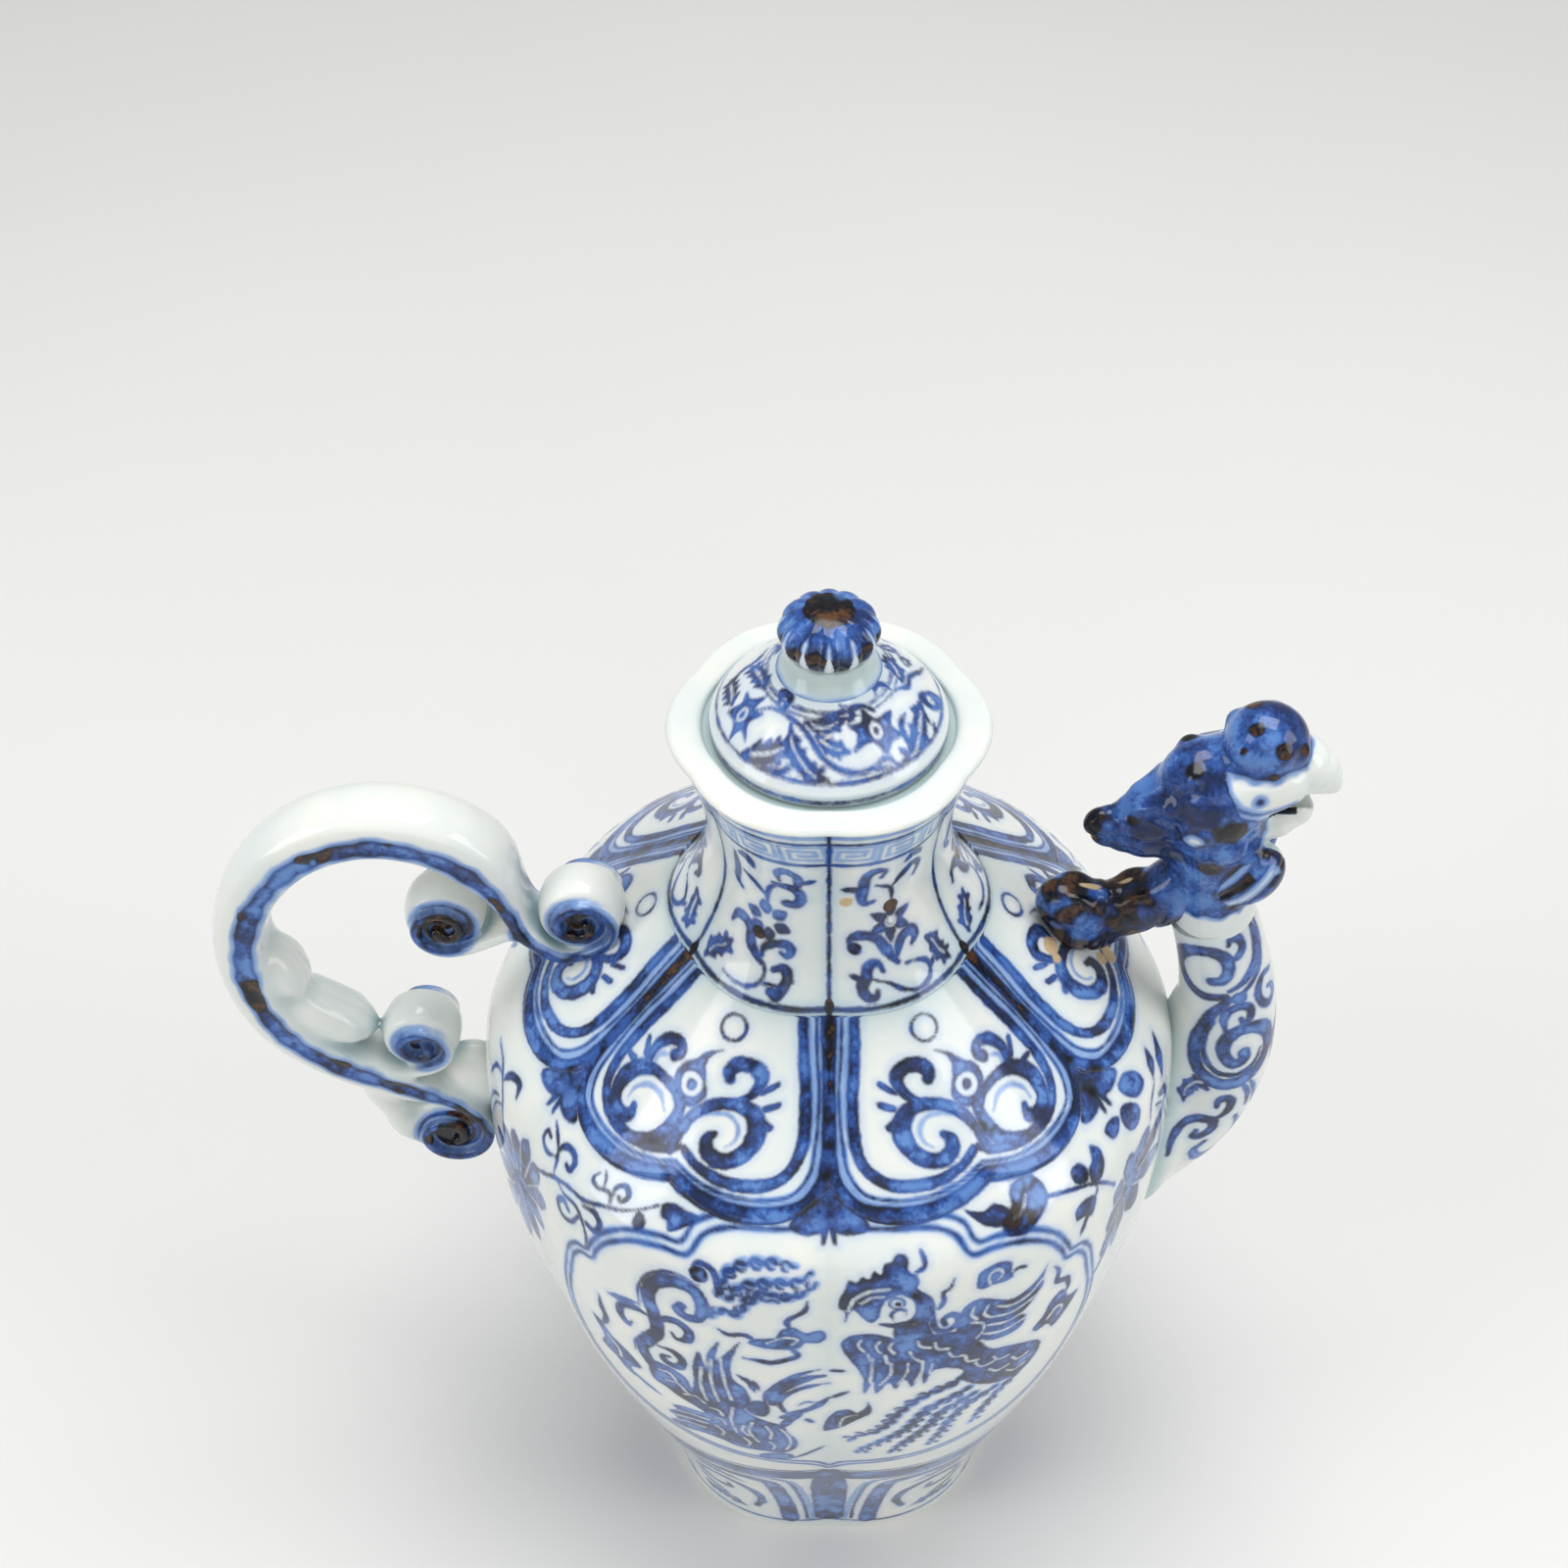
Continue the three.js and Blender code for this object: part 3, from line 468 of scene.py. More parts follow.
def painted_glaze(name, flow=1.0, depth=0.0):
    """Glaze over brushwork. ink and wash are distances in mm from the strokes, below 0 inside them; iron is
    how far the pigment has burnt and grit the distance from a kiln scar. A last field is high in hollows
    and joints, where the glaze runs thick and where painted shade is laid: there it deepens the blue and
    turns the white a darker grey blue. flow widens the blotches and depth thickens all pigment."""
    made, tree, shader, where = new_material(name)
    fine, mid, broad = noise(tree, where, 0.9, 2), noise(tree, where, 3.2 * flow, 1), noise(tree, where,
                                                                                            9 * flow, 2)
    edge = calc(tree, "MULTIPLY_ADD", calc(tree, "SUBTRACT", mid, 0.5), 0.7, field(tree, "ink"))
    edge = calc(tree, "MULTIPLY_ADD", calc(tree, "SUBTRACT", fine, 0.5), 0.5, edge)
    core = step(tree, edge, 0.42, -0.36)
    rim = step(tree, edge, -1.5, -0.4)
    tone = calc(tree, "ADD", calc(tree, "MULTIPLY", broad, 0.55), calc(tree, "MULTIPLY", mid, 0.27))
    tone = step(tree, calc(tree, "MULTIPLY_ADD", fine, 0.18, tone), 0.40, 0.64)
    tone = calc(tree, "MULTIPLY_ADD", tone, 0.78, depth)
    tone = calc(tree, "MULTIPLY_ADD", rim, 0.18, tone)
    # thick glaze and painted shade: the blue is deeper in hollows and joints
    tone = calc(tree, "MULTIPLY_ADD", field(tree, "pool_and_shade"), 0.45, tone, clamp=True)

    ground = blend(tree, step(tree, noise(tree, where, 17, 2), 0.35, 0.7), WHITE, WHITE_WARM)
    # thick glaze and painted shade: the white turns darker and bluer in hollows and joints
    ground = blend(tree, field(tree, "pool_and_shade"), ground, POOLED_GLAZE_SHADE)
    speck = step(tree, noise(tree, where, 0.55, 1), 0.755, 0.80)
    ground = blend(tree, calc(tree, "MULTIPLY", speck, 0.35), ground, rgb(118, 116, 116))
    halo = calc(tree, "MULTIPLY", step(tree, field(tree, "ink"), 1.9, 0.1),
                calc(tree, "MULTIPLY_ADD", mid, 0.4, 0.12))
    colour = blend(tree, halo, ground, HALO)
    wash = step(tree, calc(tree, "MULTIPLY_ADD", calc(tree, "SUBTRACT", mid, 0.5), 0.9, field(tree, "wash")),
                0.5, -0.4)
    colour = blend(tree, calc(tree, "MULTIPLY", wash, 0.86), colour, blend(tree, tone, WASH_PALE, WASH_DEEP))
    pigment = ramp(tree, tone, (0.0, THIN_BLUE), (0.3, COBALT), (0.66, DEEP_BLUE), (1.0, BLUE_BLACK))
    heaped = calc(tree, "MULTIPLY", step(tree, noise(tree, where, 1.3, 1), 0.56, 0.70),
                  step(tree, tone, 0.42, 0.85))
    pigment = blend(tree, calc(tree, "MULTIPLY", heaped, 0.75), pigment, BLUE_BLACK)
    colour = blend(tree, calc(tree, "MULTIPLY", core, 0.96), colour, pigment)
    burnt = step(tree,
                 calc(tree, "MULTIPLY_ADD", calc(tree, "SUBTRACT", mid, 0.5), 1.3, field(tree, "iron")),
                 0.38, 0.80)
    rust = step(tree, calc(tree, "MULTIPLY_ADD", fine, 0.4, calc(tree, "MULTIPLY", mid, 0.6)), 0.48, 0.66)
    rust = calc(tree, "MULTIPLY", rust, step(tree, field(tree, "iron"), 0.42, 0.75))
    colour = blend(tree, burnt, colour, blend(tree, rust, BLUE_BLACK, IRON_BROWN))
    scar = step(tree, calc(tree, "MULTIPLY_ADD", calc(tree, "SUBTRACT", mid, 0.5), 2.4, field(tree, "grit")),
                0.35, -0.35)
    colour = blend(tree, scar, colour, blend(tree, fine, KILN_GRIT, rgb(214, 194, 158)))
    tree.links.new(colour, shader.inputs["Base Color"])
    gloss = calc(tree, "MULTIPLY_ADD", step(tree, broad, 0.3, 0.7), 0.05, 0.06)
    gloss = calc(tree, "ADD", gloss, calc(tree, "MULTIPLY", scar, 0.5))
    tree.links.new(calc(tree, "MULTIPLY_ADD", burnt, 0.10, gloss), shader.inputs["Roughness"])
    shader.inputs["IOR"].default_value = 1.50
    shader.inputs["Specular IOR Level"].default_value = 0.42
    relief = calc(tree, "MULTIPLY_ADD", noise(tree, where, 6, 2), 0.25, calc(tree, "MULTIPLY", scar, fine))
    relief = calc(tree, "MULTIPLY_ADD", burnt, -0.05, relief)
    bump = add(tree, "ShaderNodeBump")
    bump.inputs["Strength"].default_value = 0.5
    bump.inputs["Distance"].default_value = 0.35 * MM
    tree.links.new(relief, bump.inputs["Height"])
    tree.links.new(bump.outputs[0], shader.inputs["Normal"])
    return made


body_glaze = painted_glaze("blue_and_white_glaze")
dark_glaze = painted_glaze("heaped_cobalt_glaze", 1.5, 0.04)

# %% Bare clay, for the foot and the lid's flange
def bare_clay():
    """Unglazed stoneware: buff, with burnt freckles and the fine rings of the wheel."""
    made, tree, shader, where = new_material("bare_clay")
    fine, broad = noise(tree, where, 0.7, 5), noise(tree, where, 14, 3)
    colour = blend(tree, step(tree, broad, 0.35, 0.68), rgb(214, 199, 172), rgb(190, 160, 124))
    freckle = step(tree, noise(tree, where, 0.8, 2), 0.66, 0.74)
    colour = blend(tree, calc(tree, "MULTIPLY", freckle, 0.55), colour, rgb(116, 82, 56))
    tree.links.new(colour, shader.inputs["Base Color"])
    tree.links.new(calc(tree, "MULTIPLY_ADD", fine, 0.2, 0.62), shader.inputs["Roughness"])
    rings = add(tree, "ShaderNodeTexWave", wave_type="RINGS", rings_direction="Z")
    tree.links.new(where, rings.inputs["Vector"])
    rings.inputs["Scale"].default_value = 260
    rings.inputs["Distortion"].default_value = 1.2
    bump = add(tree, "ShaderNodeBump")
    bump.inputs["Strength"].default_value = 0.5
    bump.inputs["Distance"].default_value = 0.2 * MM
    tree.links.new(calc(tree, "MULTIPLY_ADD", rings.outputs["Fac"], 0.5, fine), bump.inputs["Height"])
    tree.links.new(bump.outputs[0], shader.inputs["Normal"])
    return made


clay = bare_clay()


def finish(piece, material, body, slot, *nodes):
    """Dresses a piece, lets it ride with its body and stand for its CAD nodes."""
    piece.data.materials.append(material)
    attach(piece, body)
    if nodes:
        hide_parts(*nodes)
    return piece

# %% [markdown]
# ## The six-lobed body
# The body was pressed in moulds, so it has six lobes with soft clefts between them. In Blender it could be a
# lathe shape cut by a cutter, but a formula gives a cleaner cleft: the radius at any height, times a factor
# that dips between lobes. Each lobe is its own closed slice of wall, fine enough to carry the painting.

# %% The body's outline
FOOT_RADIUS, BELLY_RADIUS, BELLY_HEIGHT, BODY_HEIGHT, BODY_WALL = 46, 75, 122, 181, 5
SHOULDER_SLOPE, NECK_SEAT_RADIUS = 1.3, 33.3


def lobe(angle, depth, lobes=6):
    """1 on a lobe's crown and 1 - depth in the cleft: a rounded rectified cosine."""
    c = np.cos(lobes / 2 * angle)
    return 1 - depth * (1 - np.sqrt(c * c * (1 - 0.13**2) + 0.13**2))


def body_radius(z):
    """A swell up from the foot, met by the straight cone of the shoulder; the lesser, rounded where they
    cross."""
    side = mix(FOOT_RADIUS, BELLY_RADIUS, np.sin(np.pi / 2 * np.clip(z / BELLY_HEIGHT, 0, 1)) ** 1.45)
    cone = NECK_SEAT_RADIUS + SHOULDER_SLOPE * (BODY_HEIGHT - z)
    return (side + cone - np.hypot(side - cone, 8)) / 2


def body_cleft(z):
    """How deep the cleft is, as a share of the radius."""
    return mix(0.065, 0.048, np.clip(2 * z / BELLY_HEIGHT, 0, 1))


fine_z = np.linspace(BODY_HEIGHT, 0, 4000)
fine_run = np.concatenate([[0], np.cumsum(np.hypot(np.diff(fine_z), np.diff(body_radius(fine_z))))])


def body_point(angle, z, out):
    """The point of the body's skin at an angle and a height, moved out mm off it."""
    return revolve(body_radius(z) * lobe(angle, body_cleft(z)) + out, angle, z)


print("length of the body's side:", round(fine_run[-1], 1), "mm")

# %% [markdown]
# ## What is painted on the body
# Each lobe wears a cloud-collar lappet on the shoulder, with sprays of lotus on the clefts below. The front
# and back hold a framed panel with a pair of phoenixes among clouds, and upright panels ring the foot.
# Coordinates are millimetres: across from the middle of the lobe, or of the panel, and down from the neck.

# %% The lappet and its volutes
lappet_edge = [(0, 36.9), (4, 38.4), (11, 40.6), (19, 41.3), (26, 40.4), (30.6, 36.2)]
inner_line = [(14.8, 0), (18.2, 8), (21.1, 14), (23.2, 19.5), (25.0, 25.5), (26, 30.8), (24.4, 34.6),
              (19, 36), (11, 35.9), (4.5, 34.6), (0, 32.9)]
lappet = join(
    both(
        brush([(16.2, 0), (19.8, 8), (22.6, 14.5), (24.9, 21), (27.1, 28), (27.6, 33), (25.6, 37),
               (20, 38.2), (12, 38), (5, 36.6), (0, 34.6)], 1.9, (1, 0.8), "wash"),
        # three bands inside the edge: a thick one, a thin one over a wash, and the broad dark one
        swelling([(12.3, 0), (15.6, 8), (18.4, 14), (20.6, 19.5), (22.3, 25), (22.4, 29.2), (19.8, 32.4),
                  (15, 33.6), (9, 33.4), (3.5, 31.8), (0.5, 30)],
                  [(0, 1), (0.4, 1.2), (0.7, 1.5), (1, 0.9)]),
        brush([(13.2, 1), (16.2, 8), (19, 14), (21.2, 19.5), (22.9, 25)], 1.5, (0.8, 0.8), "wash"),
        brush(inner_line, 0.32, (0.9, 0.9)), brush(inner_line, 0.62, (0.9, 0.9), "wash"),
        swelling([(17.6, 0), (21, 8), (23.8, 14.5), (26, 21), (28.2, 27.5), (29.2, 32.5), (27.3, 36.8),
                  (22, 38.9), (14, 39.2), (7, 38.1), (0, 35.8)],
                  [(0, 1), (0.35, 1), (0.55, 1.6), (0.68, 2.1), (1, 2)]),
        swelling([(27.3, 38.4), (22, 40.4), (14, 40.7), (7, 39.4), (2, 38)],
                 [(0, 0.7), (0.5, 0.75), (1, 0.5)], iron=0.22),
        swelling([(17.6, 0), (21.6, 10), (25.4, 20), (29.2, 30), (32.5, 38), (34.4, 45)],
                 [(0, 1.9), (0.3, 1.4), (0.6, 1.2), (0.8, 1.6), (1, 0.5)], iron=0.42),
        brush([(17.4, 0), (19.6, 5), (23, 12), (26.4, 20)], 1.2, (1, 0.3), iron=0.85),
        brush([(16.6, 0), (20.4, 10), (24.2, 20), (28.4, 30)], 1.6, (1, 1), "wash"),
        fill([(31.4, 28), (28.6, 36), (26, 41.4), (31, 43.4), (34.4, 42), (34, 34)], iron=0.32),
    ),
    # the volutes inside, which are not a mirrored pair
    swelling([(2.2, 31.2), (1.4, 26), (-0.8, 21.6), (-5, 18.9), (-9.4, 19), (-12.2, 22), (-12.6, 26),
              (-10.4, 29), (-7, 29.8), (-4.6, 28.4), (-4, 26.4), (-5, 25.2)],
             [(0, 1.2), (0.3, 1.3), (0.45, 1.5), (0.62, 2), (0.8, 1.7), (0.93, 1.5), (1, 0.8)], iron=0.18),
    brush([(-0.6, 23.2), (-3.4, 21.4), (-6.4, 21), (-8.9, 22.8), (-9.2, 25.6), (-8, 27)], 0.45, (0.6, 0.4),
          "wash"),
    swelling([(3.4, 21.5), (3.6, 26), (5.4, 30.4), (9, 32.8), (14, 34)],
             [(0, 1), (0.4, 1.7), (0.7, 1.4), (1, 1)],
             "ink", 0.42),
    swelling([(3.4, 24), (5.6, 21.2), (9.6, 20.2), (13.4, 20.8), (17, 23.4), (19, 27.4), (18.2, 30.6),
              (15.4, 31.6), (13.2, 30.2), (13.3, 28.6)],
              [(0, 1), (0.3, 1.2), (0.6, 1.9), (0.85, 1.7), (1, 0.9)], iron=0.15),
    brush([(6.4, 25.4), (8.8, 23.2), (12, 23.4), (14.8, 25.8), (15.6, 28.4)], 0.5, (0.6, 0.5), "wash"),
    swelling([(-6.4, 18.4), (-9, 15.8), (-9.4, 12.7), (-7, 10.7), (-4.2, 11), (-3, 12.8), (-3.6, 14.2)],
             [(0, 0.8), (0.5, 1.5), (0.8, 1.7), (1, 1.2)], iron=0.3),
    fill([(-0.2, 9.4), (2.6, 11), (4.6, 13.6), (6.6, 15.2), (7.4, 18), (6, 21), (3.4, 22.6), (0.6, 21.6),
          (-0.6, 18.6), (1, 15.6), (2, 13.4), (1.4, 11.2)], iron=0.12),
    ring(3.3, 18.2, 1.75, 0.55, "gap"), ring(3.6, 17.9, 0.3, 0.75, "ink"),
    brush([(14.4, 20.2), (14.2, 16.8), (11.8, 13.6), (9, 12.8), (8, 14.2), (9.2, 15.6)], 1.25, (0.8, 1)),
    brush([(13, 19.6), (12.6, 17.4), (10.6, 16.2)], 0.5, (0.8, 0.3), "wash"),
    brush([(-12.8, 13.4), (-10.2, 15.8)], 0.75, (0.9, 0.2)),
    brush([(-14.4, 17.4), (-11.8, 18.6)], 0.8, (1, 0.2)),
    brush([(-14.6, 22), (-12, 20.4)], 0.75, (1, 0.2)), brush([(16.8, 16.8), (15.2, 20.4)], 0.8, (0.9, 0.2)),
    brush([(20, 22.2), (16.6, 22)], 0.75, (0.9, 0.2)), ring(-0.2, 4.7, 2.6, 0.36, "ink"),
)
print("strokes in a lappet:", len(lappet))

# %% Flowers, leaves and the foot
def lotus(x, s, size=1.0, iron=0.35):
    """An open flower: a ring of round petals, an inner ring of pointed ones and a dark heart."""
    out = []
    for k in range(8):
        a = 2 * np.pi * (k + 0.5) / 8
        c, d = np.cos(a), np.sin(a)
        px, ps = x + 6.6 * size * c, s + 6.2 * size * d
        out.append(fill([(px + 3.1 * size * np.cos(b), ps + 3.1 * size * np.sin(b))
                         for b in a + np.linspace(-2.4, 2.4, 7)], "ink", iron * (k % 3 == 0)))
        out.append(cut([(x + 3.4 * size * c, s + 3.2 * size * d), (px, ps),
                        (px + 2.2 * size * c, ps + 2.2 * size * d)], 0.28 * size))
    out.append(ring(x, s, 3.7 * size, 0.45 * size, "gap"))
    out.append(ring(x, s, 1.3 * size, 1.5 * size, "ink", iron * 1.6))
    out.append(ring(x, s, 8.6 * size, 1.2, "wash"))
    return out


def pointed_lotus(x, s, tips, half=3.2):
    """A flower whose pointed petals fan out from a heart, parted by thin white lines."""
    out = []
    for (tx, ts), (nx, ns) in zip(tips, tips[1:] + tips[:1]):
        out.append(swelling([(x, s), (mix(x, tx, 0.55), mix(s, ts, 0.55)), (tx, ts)],
                            [(0, 1), (0.35, half * 0.9), (0.62, half), (0.86, half * 0.62), (1, 0.15)],
                            iron=0.34))
        mx, ms = (tx + nx) / 2, (ts + ns) / 2
        out.append(cut([(mix(x, mx, 0.3), mix(s, ms, 0.3)), (mx, ms)], 0.24))
    out.append(ring(x, s, 1.1, 1.4, iron=0.6))
    return out


curled_spray = join(  # left of the front panel: a lotus on the cleft, and thin curls along a stem
    pointed_lotus(-6, 76,
                  [(-18, 69), (-13, 62.4), (-7.4, 58.4), (-1.4, 55.6), (4.6, 58.4), (7.6, 66), (4.6, 78),
                           (-1, 90), (-9, 98), (-18, 94), (-20, 81)]),
    brush([(-24, 48.6), (-19, 49.8), (-14.4, 55), (-13.6, 63)], 0.5),
    brush([(-17, 51.4), (-20.4, 52.2), (-23, 57)], 0.6),
    brush([(-16, 52.2), (-14, 49), (-10.6, 48.2), (-9.4, 51)], 0.9),
    brush([(0, 62), (6, 57.6), (11.9, 53.4), (16.9, 51.7), (20.9, 51.2), (25.4, 49), (29.2, 47.4),
           (32, 45.4), (34.6, 42.8)], 0.5, (0.8, 0.8)),
    brush([(10.8, 53.6), (9.4, 49), (6.6, 46.8), (3.6, 45.2)], 0.5),
    brush([(9, 50), (6, 51.4), (3.2, 50.4), (3.4, 48.2), (5, 48.4)], 0.6, (0.5, 0.9)),
    brush([(9.2, 50), (9.4, 46.8), (11.9, 45.6), (14.2, 46.8), (14.2, 49), (12.8, 48.8)], 0.75, (0.5, 0.9)),
    brush([(11.9, 53.2), (15.4, 54.4), (19.5, 54), (22.2, 56), (23.9, 59.6), (23.4, 64)], 0.5, (0.6, 0.2)),
    brush([(21, 55.8), (18.8, 59.6), (15.6, 60.6), (13.8, 58.4), (15.6, 55.8), (17.6, 57)], 0.75,
          (0.5, 0.9)),
    brush([(21.4, 52.4), (24.7, 51.6), (26.8, 53.2), (25.8, 55.8), (23.6, 55.6)], 0.75, (0.5, 0.9)),
    brush([(26.8, 48.6), (25, 46), (22, 46.8), (20, 46), (20.4, 44)], 0.5),
    brush([(23.2, 46), (22.2, 44), (21, 42.8)], 0.4, (0.8, 0.2)),
    brush([(26.4, 47.6), (25.4, 44), (26.9, 42.8), (28.6, 44.2), (28, 46), (26.9, 45.4)], 0.6, (0.5, 0.9)),
    fill([(32.2, 45.4), (32.4, 48), (34.2, 49.6), (35.4, 48.2), (34, 46)]),
    fill([(35, 42), (37.4, 41), (40.4, 41.6), (43.4, 42.2), (42, 45), (39.8, 46.6), (38.4, 45),
          (36.6, 44.4)]),
)
leafy_spray = join(  # right of the front panel: dark round leaves, and a heavy flower below the lappet
    fill([(5.4, 44.2), (9, 43.4), (12, 45.6), (12.6, 48.8), (9.6, 50), (6.4, 48)], iron=0.2),
    fill([(2.6, 47.6), (6, 48.8), (7.6, 52.4), (5, 54.8), (1.8, 53.2), (1, 50)], iron=0.1),
    fill([(-5, 47.2), (-1.8, 46.8), (1, 48.6), (-1.4, 50.8), (-4, 50.2)]),
    swelling([(24, 46.6), (21.6, 50), (19.2, 54.6)], [(0, 0.3), (0.5, 1.7), (1, 0.3)]),
    swelling([(18.6, 45.6), (17.6, 48.2), (15.6, 51.4)], [(0, 0.3), (0.5, 1.5), (1, 0.3)]),
    brush([(16, 51.6), (12, 55), (10.6, 60)], 0.45),
    brush([(15.8, 56), (19.8, 58), (20.6, 61.6), (17.4, 61)], 0.8),
    brush([(-26, 46.2), (-20.8, 48.6), (-15.3, 51.7), (-10.6, 56), (-7, 60.6)], 0.5, (0.9, 0.9)),
    fill([(-10.4, 45.6), (-8.6, 47.8), (-9.4, 51.4), (-12, 53.2), (-15, 51.8), (-14.4, 49), (-12.2, 48.2)],
         iron=0.3),
    fill([(-18.2, 46), (-15.4, 45.8), (-14.2, 48.4), (-15.8, 50.6), (-18.6, 48.8)], iron=0.45),
    fill([(-15, 55.4), (-18.2, 53.2), (-21.8, 53.8), (-22, 56.4), (-19.4, 57.4), (-17, 59.2)], iron=0.25),
    brush([(-18, 57), (-19.6, 59), (-21.4, 62)], 0.9, (0.9, 0.1)),
    brush([(-14.6, 51.8), (-14, 54), (-16, 56)], 0.4),
    pointed_lotus(0, 70,
                  [(20, 63.4), (10, 60), (1, 60.6), (-6.4, 64.4), (-9.6, 72), (-12, 80), (-5, 84), (6, 82),
                          (18, 76)], 3.4),
    brush([(-6, 79), (-11, 81.6), (-16, 84)], 0.8, (0.8, 0.2)),
    fill([(-28.6, 39.8), (-25.8, 39.8), (-24.4, 43.2), (-26, 47), (-30, 49.4), (-34, 50.4), (-37.6, 48.8),
          (-36.6, 45.6), (-33, 43.8), (-31, 41)], iron=0.55),
    fill([(-41, 41), (-38.2, 42.4), (-35, 42), (-33.6, 44.6), (-36.6, 46.8), (-39.8, 45.4)], iron=0.1),
    cut([(-34.6, 46.6), (-31.4, 45.6), (-29, 43.4)], 0.26),
)
side_frame = both(  # the two thin lines that part the side lobes from the shoulder
    brush([(22, 57), (19, 59.5), (13.4, 70), (5.5, 81), (0, 88.5)], 0.5, (0.9, 0.9)),
    brush([(24.5, 57.5), (21, 60.5), (15.6, 71), (7.4, 82.6), (0, 91.4)], 0.35, (0.9, 0.9)),
)
low_spray = join(  # the scrolling lotus below, between the pointed ends of the panels
    lotus(0, 118, 1.15), brush([(0, 96), (3.4, 101), (1, 106)], 0.5),
    brush([(0, 96), (-4, 99), (-5, 104)], 0.5),
    both(
        brush([(7, 126), (13, 131), (20, 130.5), (24, 126), (22.6, 121), (18.4, 120.6), (17, 123.6)], 0.6),
        leaf([(11, 112), (15, 108.6), (17.4, 104)], 1.8), leaf([(13.8, 116), (18, 114.6), (21.6, 111)], 1.7),
        leaf([(9, 133.5), (13.5, 136.5), (19.5, 136.6)], 1.9, iron=0.3),
        leaf([(24, 131), (28, 133), (31, 137)], 1.7),
        leaf([(5, 100), (9, 97.6), (11.6, 94)], 1.5), leaf([(24.8, 122), (28.4, 120), (31.4, 123)], 1.5),
    ),
    leaf([(-3, 137.5), (0, 140.6), (3, 137.5)], 1.6),
)
foot_panels = join(
    both(
        brush([(0, 145.4), (10, 145.7), (19, 146.2), (25, 146.8), (31, 146.4)], 0.5, (1, 0.8)),
        # the broad dark band round the top of the foot: cobalt brushwork, laid wide and dark to paint the
        # shade of the waist above the foot too
        brush([(0, 151.8), (10, 151.8), (20, 152), (31, 152.6)], 4.4, (1, 1), iron=0.3),
        swelling([(0, 161), (11.4, 161.2), (14.6, 162.8), (15.3, 166), (15.2, 180), (14.8, 198)],
                 [(0, 1.6), (0.3, 2.2), (1, 2.2)]),
        swelling([(0, 157.4), (15, 157.6), (18.6, 159), (19.8, 162), (19.6, 180), (18.9, 198)],
                 [(0, 0.4), (1, 0.5)]),
        brush([(17, 157.6), (20.4, 160), (21, 166), (20.4, 198)], 0.8, (0.8, 1), "wash"),
        swelling([(31, 147), (29.4, 153), (27.6, 162), (26.2, 172), (24.9, 184), (24.2, 196.4)],
                 [(0, 1.4), (0.2, 2), (0.5, 2.8), (1, 3.4)], iron=0.34),
        brush([(0, 199.4), (12, 199.4), (23.5, 199.4)], 0.45, (1, 1)),
    ),
    swelling([(-7, 192), (-9.4, 185), (-8, 177), (-2.6, 172.4), (4, 173.4), (6.4, 178.6), (3, 183),
              (-1.6, 182), (-2, 178.6)],
             [(0, 0.8), (0.3, 1.5), (0.6, 1.7), (0.9, 1.2), (1, 0.7)], iron=0.14),
    brush([(0, 190.6), (5, 188.6), (9, 182.6)], 1.1), leaf([(-4, 195), (2, 193.4), (8, 194.6)], 1.7),
    leaf([(-7.6, 168.8), (-1, 165.6), (6, 167)], 1.7), leaf([(7.6, 170.4), (10.4, 175), (10, 181)], 1.4),
)
print("strokes on the clefts and the foot:", len(curled_spray) + len(leafy_spray) + len(foot_panels))

# %% The panel's frame and its clouds
frame_line = [(0, 41.8), (12, 42), (20, 42.6), (25, 45), (28.5, 49.8), (33.5, 50), (41, 52), (47, 56),
              (50.5, 61), (52, 64.5), (55.5, 66), (58.5, 70), (60, 76), (61.5, 84), (61, 92), (57, 102),
              (50, 112), (40, 121), (30, 127), (20, 131.5), (10, 134.5), (3, 137), (0, 141)]
outer_line = [(0, 39.3), (12, 39.6), (21, 40.2), (26.6, 43), (29.8, 47.6), (34, 48), (42, 50.2),
              (48.4, 54.6), (52, 60), (53.4, 63), (57, 64.6), (60.2, 69), (62, 75.6), (63.4, 84),
              (62.9, 92.6), (58.7, 103), (51.4, 113.4), (41, 122.8), (30.8, 128.9), (20.6, 133.4),
              (10.8, 136.6), (4.4, 139), (0, 143.8)]
panel_frame = both(
    brush(frame_line, 0.42, (1, 1)), brush(frame_line, 0.8, (1, 1), "wash"),
    brush(outer_line, 0.36, (1, 1)), brush(outer_line, 0.75, (1, 1), "wash"),
)
